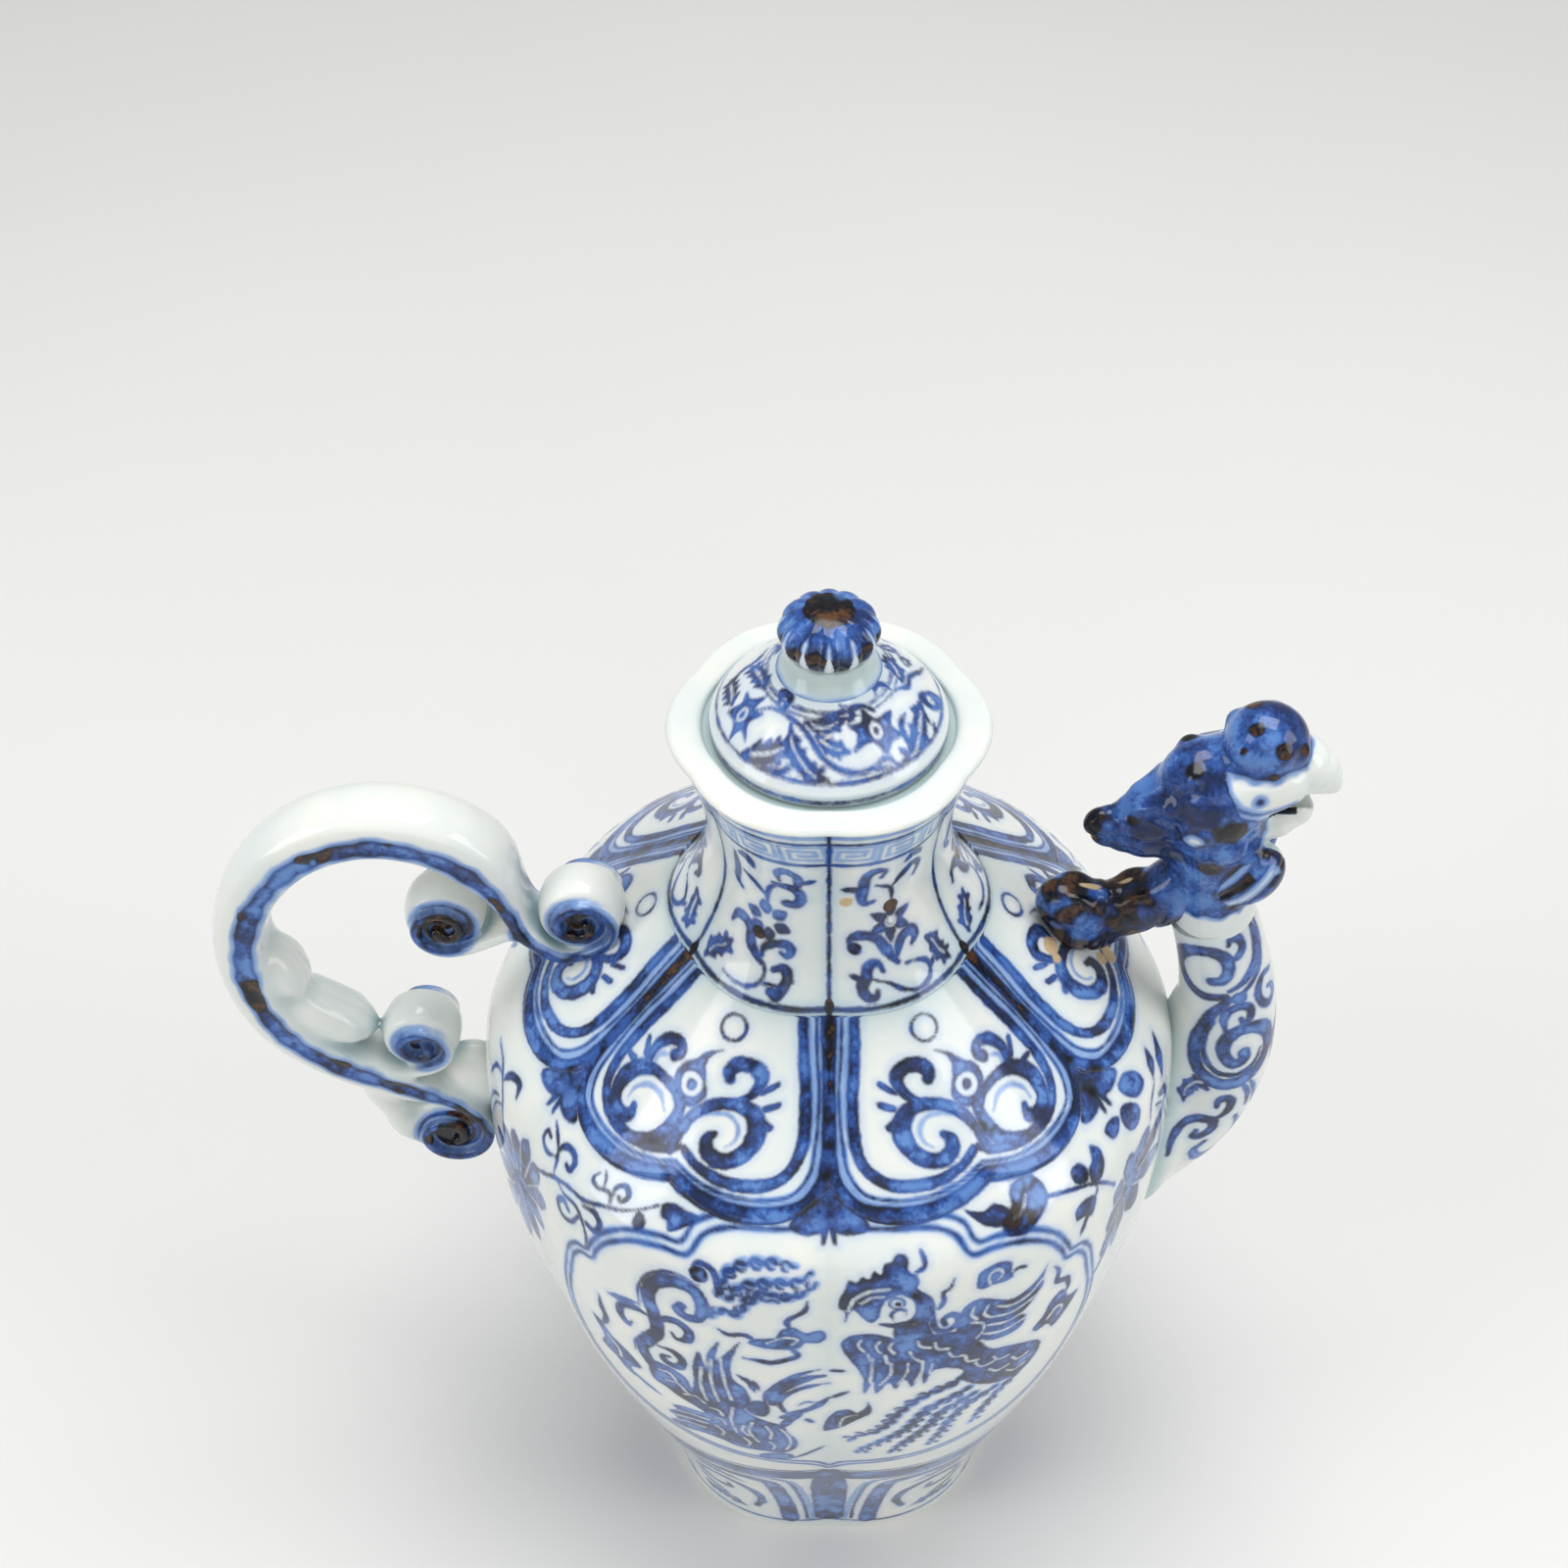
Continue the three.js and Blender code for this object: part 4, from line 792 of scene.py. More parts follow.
clouds = join(
    fill([(29.7, 57), (30, 54.7), (32, 53.7), (35, 53.6), (37.3, 54.9), (37.4, 57.5), (38, 59), (36, 59.4),
          (33.5, 58.9), (31, 59.2), (29.8, 58.3)]),
    cut([(32.6, 58.3), (32.3, 56.3), (33.5, 55.2), (35, 55.7), (35.2, 57.3), (34.3, 58)]),
    brush([(37.5, 58), (39, 57.4), (41, 58.3)], 0.6),
    brush([(48.5, 64), (50, 67), (49.8, 70), (53, 72.5), (53.5, 76), (51.5, 77.5)], 0.9),
    fill([(44, 82), (46.5, 79.5), (49, 75.5), (52, 75), (54, 79.5), (57.5, 81), (56, 83), (53, 85.5),
          (50, 87), (48, 84), (45, 83.7)], iron=0.2),
    cut([(48, 82), (50.4, 80), (52.4, 81.6), (51, 83.6)], 0.35),
    brush([(-4.3, 58), (-5, 61), (-7, 62.5), (-8.5, 64), (-7.5, 68)], 0.75),
    fill([(-15, 70.3), (-11, 69.5), (-10, 67), (-7, 66), (-5, 68), (-1.5, 67.5), (-0.5, 70), (-2, 71.8),
          (-5, 71.5), (-6, 73.2), (-10, 73.8), (-14, 73.2), (-16.5, 71.8)]),
    cut([(-12.6, 71.6), (-9, 69.6), (-6.4, 70.4), (-7.6, 72)], 0.35),
    brush([(-22.5, 68.5), (-20.5, 69.8), (-17, 69.3), (-15, 71)], 0.75),
    brush([(-8, 73), (-6.5, 76), (-9, 77.5), (-12, 78.5), (-15, 77.8), (-17.5, 77.5)], 0.9, (0.6, 0.3),
          iron=0.5),
    brush([(-51, 76), (-50.5, 80), (-49.5, 83), (-51.5, 88)], 0.9),
    fill([(-54, 86), (-51, 86.4), (-49, 89), (-44, 92), (-41, 96), (-44, 99), (-43, 103), (-46, 102),
          (-48, 99), (-52, 97), (-51, 92)]),
    cut([(-50, 90.6), (-47, 93.4), (-46.6, 97)], 0.4),
    brush([(-44, 101), (-40, 104), (-37, 106)], 0.8),
)
print("strokes in the frame and clouds:", len(panel_frame) + len(clouds))

# %% The phoenix that flies to the right of the panel
phoenix_right = join(
    fill([(2, 60.5), (2.2, 57), (3.5, 54), (4, 52.5), (5.5, 53), (6.5, 51.5), (8, 52), (9, 50.2), (10.3, 51),
          (11, 48.8), (12.3, 48.6), (13.2, 47), (15, 47), (15.9, 48.5), (15.8, 50.5), (17.5, 52), (17.8, 54),
          (16.5, 55.8), (13.5, 56.4), (11.5, 57.5), (10.5, 60), (10, 63), (8.5, 64.5), (6.5, 62.5),
          (5, 60.5), (4, 62), (3.2, 64.8), (3, 61)], iron=0.25),
    cut([(3.8, 61), (5, 57.5), (8, 55.2), (12, 54.6)], 0.35),
    cut([(6.4, 58.6), (8.6, 56.8), (11, 56.6)], 0.25),
    brush([(18, 46.5), (19, 49.8), (16.5, 51.5)], 0.6),
    ring(13.6, 58.6, 1.5, 0.3), ring(13.8, 58.8, 0.2, 0.5, iron=0.8),
    brush([(10.5, 65), (13.5, 65.5), (17, 64.5), (18.5, 61), (17.5, 57.5), (15.5, 55.8)], 1.1, (0.4, 0.8),
          iron=0.4),
    brush([(15.5, 62.5), (15.2, 60.8), (13.5, 60.6), (12.5, 62), (13, 63.8)], 0.45),
    fill([(13.5, 65.5), (13.8, 70.5), (21, 70.5), (20.3, 66), (20, 60), (18.5, 56.5), (16.5, 55.5), (18, 60),
          (18.5, 63.5), (17, 65.5)]),
    brush([(17, 55), (20, 58.5), (20.7, 64), (21.8, 68.5), (24, 69.5), (26, 67.8), (26, 65.3), (24.5, 64.3),
           (23, 65.5), (23.5, 67.5)], 0.85, (0.7, 0.9), iron=0.45),
    brush([(25, 54), (24, 56.3), (22.8, 57.2), (23, 59.5), (21.8, 61.8), (20.8, 61)], 0.55),
    fill([(26.5, 65), (28, 62.5), (30.5, 61.8), (33, 63), (36, 65.3), (39, 66.2), (42.5, 65.3), (45, 63.5),
          (46.6, 61.5), (45.8, 64.8), (45.8, 67.2), (44.5, 69.3), (43.3, 71), (41, 73), (42, 75), (40.5, 78),
          (37, 78.6), (33.5, 77.8), (31, 76.2), (28.5, 78), (26, 72)], iron=0.15),
    fill([(2.5, 72), (3.5, 69.8), (6, 68.4), (9.5, 68.3), (12.5, 69.6), (14, 70.8), (24, 72), (27, 77),
          (26, 83), (21.8, 83.3), (19.7, 88.2), (19, 85), (17.2, 88.9), (15.8, 85.5), (13.8, 89.3),
          (12.5, 86.5), (9.8, 91), (9.3, 86), (7.4, 91), (7, 84), (5, 79), (3, 75)], iron=0.15),
    fill([(14, 70), (22, 70), (27, 71), (31, 76), (34, 81), (38, 83), (44, 86.5), (47, 90), (46, 95),
          (42, 99), (36, 98), (30, 93), (27.5, 89), (28, 86), (24, 83), (20, 80)], iron=0.2),
    [cut(line) for line in (
        [(34.5, 66.5), (38, 68.4), (42, 68), (45.3, 65.5)], [(33.5, 69.5), (38, 70.9), (44, 69.8)],
        [(33, 72), (37, 73.4), (42.5, 72.8)], [(32, 74.5), (36, 76), (41.5, 75.6)],
        [(29.5, 64), (29, 66.5), (30.2, 68.5)], [(32.5, 65), (31.8, 67.5), (33.3, 69.5)],
        [(29, 69), (31.5, 70.5), (31.8, 73), (30.5, 75)],
        [(12.8, 79), (12.7, 83), (10.5, 87.5)], [(9, 77), (8.8, 82), (8.6, 86.5)],
        [(16.3, 79), (16, 83), (14.4, 87)],
        [(19.3, 79), (19.2, 83), (17.9, 87)], [(21.3, 80.5), (20.8, 84)],
        [(6.5, 70.5), (6, 72.5), (7.2, 74.5)],
        [(10.3, 71), (9.6, 73), (10.5, 75)], [(13, 71.5), (12.3, 73), (13.3, 75.3)], [(8, 75.5), (8.5, 78)],
        [(11.5, 76), (12, 79)], [(16.5, 75), (17.3, 77.5), (18.8, 79)],
        [(18, 71.6), (18.6, 73.6), (20.6, 74.6)],
        [(21.6, 73), (22.2, 75.4), (24.4, 76.2)], [(24.6, 77.6), (25.6, 79.6), (27.8, 80)],
        [(28.2, 80.6), (29, 83), (31.2, 83.6)], [(30.6, 84.6), (32, 87), (34.6, 87)],
        [(34.6, 84.6), (36, 87), (38.6, 87.2)], [(34, 89.6), (36, 92), (38.8, 91.6)],
        [(39.4, 89), (41, 91.4), (43.6, 91)], [(38.4, 94), (40.4, 96), (43, 95.2)])],
    plume([(28, 89), (25.5, 91.5), (21.5, 93), (17.5, 97), (14.8, 101.5), (12.8, 107), (10, 112), (6, 115),
           (4.5, 118.5)], 1.25, 3.4, 1, 0.4),
    plume([(29.5, 95), (26, 97), (21, 100.5), (18.8, 105), (17, 110), (13.5, 115.5), (10, 120), (7, 124.5),
           (6.3, 127.5)], 1.3, 3.4, -1, 0.3),
    plume([(31, 99), (27.5, 101), (23.5, 104.5), (22.3, 109), (20.5, 113), (17.8, 118), (15.5, 122.5),
           (13.3, 128.5)], 1.3, 3.4, -1, 0.3),
    plume([(36, 100), (30, 103), (27.5, 107), (25.5, 112), (24.5, 117), (22.5, 123), (22, 126)], 1.25, 3.4,
          -1, 0.3),
    plume([(41, 99), (37, 103), (34.5, 108), (32.5, 113), (31.2, 118)], 1.2, 3.4, -1, 0.3),
    fill([(-1, 112), (0, 103), (2, 100), (4.5, 99), (6, 100.5), (8, 97), (8.2, 95), (9, 98), (8.8, 101),
          (7, 103.5), (5, 106), (3, 109)], iron=0.4),
    cut([(2.2, 109), (3.2, 104), (5.8, 101.6)]),
    brush([(0, 94), (4, 90.5)], 0.7), brush([(0, 82), (3.5, 82)], 0.7),
)
print("strokes in the right phoenix:", len(phoenix_right))

# %% The phoenix that flies down to the left
phoenix_left = join(
    brush([(-33, 96), (-38, 91), (-40, 85), (-38, 80.5), (-36, 76), (-36.5, 70), (-37.5, 65), (-35.5, 59.5),
           (-31, 57), (-27, 58), (-25.5, 62), (-26.5, 66.5), (-29, 67), (-30.8, 65.3), (-30, 63.8)], 1.75,
          (0.9, 0.7), iron=0.2),
    brush([(-42, 88), (-41.5, 84), (-39.5, 80), (-37.8, 77)], 0.5),
    brush([(-39.8, 70), (-39.5, 63), (-36, 57), (-31, 54.8), (-26, 56)], 0.5),
    brush([(-37, 72), (-41, 71.5), (-44.5, 73.5), (-45, 77), (-43, 78.8), (-42, 77.3)], 1.1),
    brush([(-48, 72.5), (-44, 71), (-40.5, 69.3)], 0.9),
    brush([(-36, 74), (-34, 70.5), (-31, 70), (-28.7, 72.3), (-29.3, 75.3), (-31.7, 76), (-32.5, 74.4)],
          1.15),
    brush([(-36, 81.5), (-32.5, 81.5), (-30.7, 84), (-31.8, 87), (-34.5, 86.7), (-35.2, 84.8), (-33.5, 84)],
          1.15),
    ring(-26, 53.3, 0.9, 1.1, iron=0.8),
    brush([(-28, 53), (-26, 50.7), (-23.5, 51.5), (-22.3, 54), (-22.5, 58)], 0.75),
    plume([(-22, 57), (-20.5, 52), (-18, 49.5), (-14, 48.5), (-10, 48.5), (-6.5, 49.3)], 1.1, 3.2, 1),
    plume([(-20, 58), (-18, 54.5), (-14, 53), (-10, 52.8), (-6, 52.5), (-3.5, 51)], 1.1, 3.2, 1),
    plume([(-17, 58), (-13, 55.5), (-9, 57), (-5.5, 56), (-2.5, 53.5)], 1.05, 3.2, -1),
    plume([(-24, 64.5), (-21, 62), (-18.5, 63), (-17, 60), (-14.5, 57.5), (-10, 58)], 1.05, 3.2, -1),
    fill([(-29, 100), (-28.5, 90), (-28.5, 84), (-27, 78.3), (-25.5, 84), (-25, 78), (-22.5, 73),
          (-23.3, 79.5), (-20.8, 76), (-18.2, 72), (-20.2, 80), (-20, 86), (-17.5, 90), (-16.5, 96),
          (-18, 100), (-20, 105), (-25, 105)], iron=0.15),
    fill([(-39, 95), (-38, 89), (-34, 88.5), (-30, 91), (-29, 95), (-27, 96), (-19, 97), (-17.5, 101),
          (-14, 105), (-10, 108), (-9, 112), (-7, 118), (-7.5, 124), (-10, 127.5), (-15, 127), (-20, 126),
          (-24, 123), (-28, 122), (-33, 123.5), (-35.5, 122), (-34, 118), (-35.8, 115), (-33.5, 111),
          (-34.5, 109), (-31, 107), (-27, 106.5), (-29, 104), (-33, 101.5), (-35, 99.5), (-38, 98)],
          iron=0.2),
    [cut(line) for line in (
        [(-34.5, 112), (-30, 110.5), (-26, 110.5)], [(-35, 116.5), (-31, 114), (-26.5, 113.5)],
        [(-34.5, 120), (-31, 117.5), (-27, 117)], [(-10.5, 110), (-8.8, 115), (-8.6, 121), (-9.5, 125)],
        [(-20.5, 100), (-21, 108), (-20, 115)], [(-16.5, 107), (-17.3, 113), (-15.5, 120)],
        [(-26.6, 84), (-27, 92), (-26, 99)], [(-24.4, 80), (-24.6, 90), (-23.4, 98)],
        [(-22.4, 79), (-21.8, 88), (-20.6, 96)], [(-36.6, 92), (-34, 91.4), (-32.6, 94)],
        [(-35, 95.6), (-32.4, 95), (-30.4, 98)], [(-31, 99.4), (-28.4, 98.6), (-26.4, 101)],
        [(-25.4, 102.6), (-23.6, 103), (-22.8, 105.6)], [(-24.6, 107.6), (-22.8, 108.4), (-22.4, 111)],
        [(-18.4, 109.6), (-18.8, 113), (-17.6, 116)], [(-13.6, 108.6), (-12.6, 112.6), (-12.8, 117)],
        [(-24.8, 113), (-23, 116), (-23.4, 119.4)], [(-18.6, 118), (-17.4, 121), (-17.8, 124)],
        [(-13, 119.4), (-12, 122), (-12.4, 125)])],
    fill([(-15.5, 131), (-14, 129), (-10, 128), (-8, 129.5), (-8.5, 133), (-12, 134.5), (-15, 133.5)],
         iron=0.3),
    brush([(-8, 132.5), (-4.5, 128), (-1, 123)], 0.6),
    brush([(-12, 96), (-11.5, 92), (-9, 88), (-5, 85), (-1, 84)], 1.4, (0.7, 0.4)),
    brush([(-13.5, 96), (-13, 91), (-10, 86.5), (-6, 83), (-2, 81.5)], 0.8, (0.7, 0.4)),
    brush([(-9.5, 100), (-10.5, 95), (-8.5, 91), (-5, 88.5), (0, 87)], 0.8, (0.7, 0.4)),
    brush([(-10, 103), (-8, 101), (-4.5, 99), (-2, 96.5), (0, 93.5)], 1.05, (0.8, 0.4), iron=0.3),
    brush([(-6.5, 96.8), (-5, 95.3), (-3, 95.5)], 0.5),
    brush([(-10, 108), (-8.5, 104.5), (-6, 101)], 1.15, (0.8, 0.5), iron=0.35),
    brush([(-5, 104), (-3.5, 106.5)], 0.8),
    brush([(-19, 84.3), (-16.5, 87), (-15.5, 91)], 0.8), brush([(-16, 86), (-14.5, 90)], 0.7),
    fill([(-16, 95), (-13.5, 95), (-12.5, 100), (-14, 103), (-17, 101.5), (-17.5, 98)]),
)
print("strokes in the left phoenix:", len(phoenix_left))

# %% A slice of the body for each lobe
HALF_LOBE = np.radians(30)
panel = panel_frame + clouds + phoenix_right + phoenix_left
on_clefts = {30: curled_spray, 90: panel, 150: leafy_spray, 210: curled_spray, 270: panel, 330: leafy_spray}


def lappet_height(x, s):
    """The lappets stand a little proud: full height inside the edge, none a millimetre outside it."""
    edge = spline(lappet_edge, 1.0)
    return 0.75 * smooth(0.5 + (np.interp(np.abs(x), edge[:, 0], edge[:, 1], right=34) - 0.4 - s) / 1.8)


def body_slice(degrees):
    """Outside wall from the neck to the foot, and the plain inside wall behind it, as one closed ring."""
    middle = np.radians(degrees)
    run = np.linspace(0, fine_run[-1], 404)
    z = np.interp(run, fine_run, fine_z)[:, None]
    turn = HALF_LOBE * np.arange(-78, 79) / 77
    near = turn - 2 * np.sign(turn) * np.maximum(np.abs(turn) - HALF_LOBE, 0)
    x = near * body_radius(z)
    outside = body_point(middle + turn[None, :], z, lappet_height(x, run[:, None]) - 0.01)
    normals = normals_of(outside, False)[:, 1:-1]
    outside, turn = outside[:, 1:-1], turn[1:-1]
    x, s = turn * body_radius(z), run[:, None] + 0 * turn
    sheet = Sheet(x, s)
    flip = degrees in (120, 180, 240)
    sheet.paint(lappet + foot_panels, flip=flip)
    for cleft, drawing in on_clefts.items():
        away = (degrees - cleft + 180) % 360 - 180
        if abs(away) < 60:
            Sheet(x + np.radians(away) * body_radius(z), s, sheet.fields).paint(drawing)
    if degrees in (0, 180):
        sheet.paint(side_frame + low_spray)
    if degrees == 0:  # kiln grit beside the strut's foot
        for px, ps, size in ((-5.6, 15.6, 2.0), (-7.6, 17.4, 1.2), (1.4, 31.6, 2.2), (-1.6, 29.4, 1.5)):
            scar = np.hypot(sheet.x - px, sheet.s - ps) - size
            sheet.fields["grit"] = np.minimum(sheet.fields["grit"], scar)
    fields = sheet.done()
    # Thick glaze and painted shade: in the clefts on the shoulder, under the neck's skirt and along the foot
    # of the lappets' raised edge.
    to_cleft = body_radius(z) * (HALF_LOBE - np.abs(turn))
    cleft_glaze_shade = 0.7 * mix(1, 0.3, smooth((run[:, None] - 38) / 10)) * np.exp(-to_cleft / 3.2)
    fields["pool_and_shade"] = cleft_glaze_shade + 0.5 * np.exp(-run[:, None] / 3.0) + 0.25 * np.exp(
        -np.abs(run[:, None] - np.interp(np.abs(x), *np.array(lappet_edge).T)) / 1.5)
    back = np.linspace(HALF_LOBE, -HALF_LOBE, 12)
    inside = body_point(middle + back[None, :], z, -BODY_WALL)
    inward = -np.stack([np.cos(middle + back), np.sin(middle + back), 0 * back], axis=-1)
    normals = np.concatenate([normals, np.broadcast_to(inward, inside.shape)], axis=1)
    plain = {"iron": 0.0, "pool_and_shade": 0.0}
    fields = {k: np.concatenate([v, np.full(inside.shape[:2], plain.get(k, FAR))], axis=1)
              for k, v in fields.items()}
    grid = np.concatenate([outside, inside], axis=1)
    piece = grid_piece(f"body_lobe_{degrees:03d}", grid, normals, fields, close=(0, 1))
    return finish(piece, body_glaze, "ewer", "white_glaze", "body_lower", "body_upper")


body_lobes = [body_slice(degrees) for degrees in range(0, 360, 60)]
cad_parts["base_slab"].data.materials.clear()
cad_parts["base_slab"].data.materials.append(clay)

# %% [markdown]
# ## The neck
# The neck was thrown separately: a skirt on the shoulder, a waist, a trumpet with a thick foliate lip, and a
# round ledge inside that carries the lid. Its profile is one closed line that is carried round the axis;
# the lobes fade out over the lip, so the bore stays round.

# %% The neck's profile
RIM_HEIGHT, RIM_RADIUS, WAIST_HEIGHT, WAIST_RADIUS, THROAT_RADIUS = 230, 31, 203.05, 24.2, 20.6
LEDGE_HEIGHT, LIP_BORE, LIP_ROUND = 228.4, 24.0, 1.6


def neck_radius(z):
    """The radius grows with the square of the drop below the waist and the power 1.7 of the rise above."""
    skirt = np.clip((WAIST_HEIGHT - z) / (WAIST_HEIGHT - BODY_HEIGHT), 0, 1.05)
    flare = np.clip((z - WAIST_HEIGHT) / (RIM_HEIGHT - WAIST_HEIGHT), 0, 1)
    return np.where(z < WAIST_HEIGHT, mix(WAIST_RADIUS, NECK_SEAT_RADIUS, skirt**2),
                    mix(WAIST_RADIUS, RIM_RADIUS, flare**1.7))


quarter = np.linspace(0, np.pi / 2, 9)[1:-1]
bore_z = np.linspace(BODY_HEIGHT - 0.2, 227.6, 40)
outer_z = np.linspace(RIM_HEIGHT - LIP_ROUND, BODY_HEIGHT - 0.2, 116)
neck_line = np.vstack([
    np.column_stack([np.maximum(neck_radius(bore_z) - 3.6, THROAT_RADIUS), bore_z]),
    [(THROAT_RADIUS + 0.25, 228.2), (THROAT_RADIUS + 0.8, LEDGE_HEIGHT),
     (22.4, LEDGE_HEIGHT), (23.7, 228.5)],
    np.column_stack([LIP_BORE + 1.2 * (1 - np.cos(quarter)), 228.7 + 1.1 * np.sin(quarter)]),
    np.column_stack([np.linspace(25.2, 29.4, 7), [229.8, 229.88, 229.93, 229.97, 230, 230, 230]]),
    np.column_stack([29.4 + LIP_ROUND * np.sin(quarter), 228.4 + LIP_ROUND * np.cos(quarter)]),
    np.column_stack([neck_radius(outer_z), outer_z]),
])
lip_row = int(np.argmax(neck_line[:, 1] >= 230))
neck_run = np.concatenate([[0], np.cumsum(np.hypot(*np.diff(neck_line, axis=0).T))])
neck_run -= neck_run[lip_row] + 2.2
print("neck rows:", len(neck_line), "length of its outside:", round(neck_run[-1], 1), "mm")

# %% What is painted on the neck
def star(x, s, out, wide, tip, foot, start):
    """Six petals round (x, s), each a diamond from foot to tip that is widest out mm from the middle."""
    petals = []
    for a in np.arange(6) * np.pi / 3 + start:
        c, d = np.cos(a), np.sin(a)
        petals.append(fill([(x + out * c - wide * d, s + out * d + wide * c), (x + tip * c, s + tip * d),
                            (x + out * c + wide * d, s + out * d - wide * c), (x + foot * c, s + foot * d)]))
    return petals


# the key fret is a stroke through bare points, so its corners stay sharp
fret_line = np.array([(-4.6, 3.1), (-4.6, -3), (3.9, -3), (3.9, 2.2), (-2.9, 2.2), (-2.9, -1.3), (2.1, -1.3),
                      (2.1, 0.6), (-1.1, 0.6)])
fret = "wash", "stroke", np.column_stack([fret_line, np.full(len(fret_line), 0.5)]), 0
neck_bands = both(
    brush([(0, 3.4), (10, 3.4), (18, 3.4)], 1, (1, 1), "wash"),
    brush([(0, 6.4), (10, 6.4), (18, 6.4)], 0.55, (1, 1)),
    brush([(0, 14.8), (8, 14.8), (16, 14.8)], 0.6, (1, 1)),
    brush([(0, 51.4), (10, 51.4), (18.6, 51.4)], 0.6, (1, 1)),
)
neck_spray_a = bolder(join(
    brush([(-9.3, 21.5), (-9.5, 19), (-7.8, 17.8), (-6, 19), (-5.5, 21), (-6.5, 23), (-8, 23.3)], 0.85),
    brush([(-10.5, 22.8), (-7, 23.3), (-5.5, 25.5), (-6.3, 28), (-8.3, 28.2)], 1, (0.5, 0.9), iron=0.3),
    brush([(-12.3, 29), (-12.2, 26.5), (-11, 24), (-9.5, 23)], 0.35), brush([(-5, 21.5), (-2.5, 20.5)], 0.5),
    brush([(-19.5, 19), (-19.5, 24), (-20, 28), (-18.5, 29.3)], 0.85),
    brush([(-18, 18), (-16, 17.5), (-14.8, 20)], 1.05), brush([(-17.5, 23.5), (-15, 25), (-13, 27)], 0.6),
    star(-12, 34, 3, 1.5, 5.1, 1.4, 0.3),
    ring(-13.6, 37.3, 0.4, 0.9, iron=0.9), ring(-12, 34, 1, 0.3, "gap"),
    brush([(-20.5, 38.5), (-19.5, 36.5), (-17.5, 36), (-15.5, 37.5), (-15, 40), (-13, 42.5), (-11.5, 43.5)],
          1),
    brush([(-12, 42), (-11.8, 40), (-10, 38.7), (-7.8, 38.2), (-6.3, 39.3), (-7, 40.8), (-8.3, 40.3)], 0.8),
    brush([(-8.8, 44), (-7, 43.3), (-5.8, 45), (-6, 47), (-7, 49.5), (-8.3, 48.5)], 1, (0.5, 0.8), iron=0.3),
    brush([(-11, 43.5), (-10.5, 46), (-12, 48.5), (-16, 49.5), (-19.5, 49)], 0.32),
    brush([(-10.5, 47.5), (-7, 47)], 0.32), brush([(-6, 46), (-4.5, 46)], 0.4),
    leaf([(-25.5, 49.5), (-23.5, 46.5), (-21, 44.5), (-19.3, 42.5)], 1.5, lobes=3),
), 0.22)
neck_spray_b = bolder(join(
    brush([(9.8, 20.5), (10.3, 18.8), (8.5, 18), (6.8, 19.5), (6.5, 22), (6.3, 25), (7, 28), (8.5, 27.8)],
          1.05),
    brush([(2.5, 23.3), (6, 23.5)], 0.85), brush([(9, 23), (12, 25), (12.5, 29)], 0.38),
    brush([(12.5, 24.5), (15, 21.5), (17, 20), (18.5, 22), (17.5, 24.5)], 0.7),
    brush([(14.8, 18), (16.5, 16.5), (18.5, 18)], 0.9),
    star(12, 34, 2, 1.3, 5, 0.8, -1.45),
    ring(12.2, 30.2, 0.4, 0.9, iron=1.0), ring(12, 34.2, 1, 0.3, "gap"),
    brush([(3, 38.5), (3.5, 36.5), (6, 36), (8.5, 37), (10, 39.5), (11, 42), (12, 43.5)], 0.95),
    ring(4, 38.7, 0.4, 0.9, iron=0.5),
    brush([(12, 42), (14, 38.5), (16, 38), (17, 39.5), (15.8, 41)], 1),
    brush([(8.5, 44.3), (7.8, 42.3), (6, 42.8), (5, 45), (3.5, 47), (4, 49), (5.8, 49.3), (6.5, 48)], 1),
    brush([(2, 44.5), (4, 45.3)], 0.5),
    brush([(6, 45.5), (9, 47), (11.5, 49), (15, 50.3), (18, 49), (18.3, 46.5), (16, 44.8), (13.5, 44.3)],
          0.36),
    leaf([(19.5, 42), (21, 43.5), (22, 46), (24.5, 49.5)], 1.4, lobes=3),
    brush([(18.5, 48), (20, 46.5)], 0.36),
), 0.22)


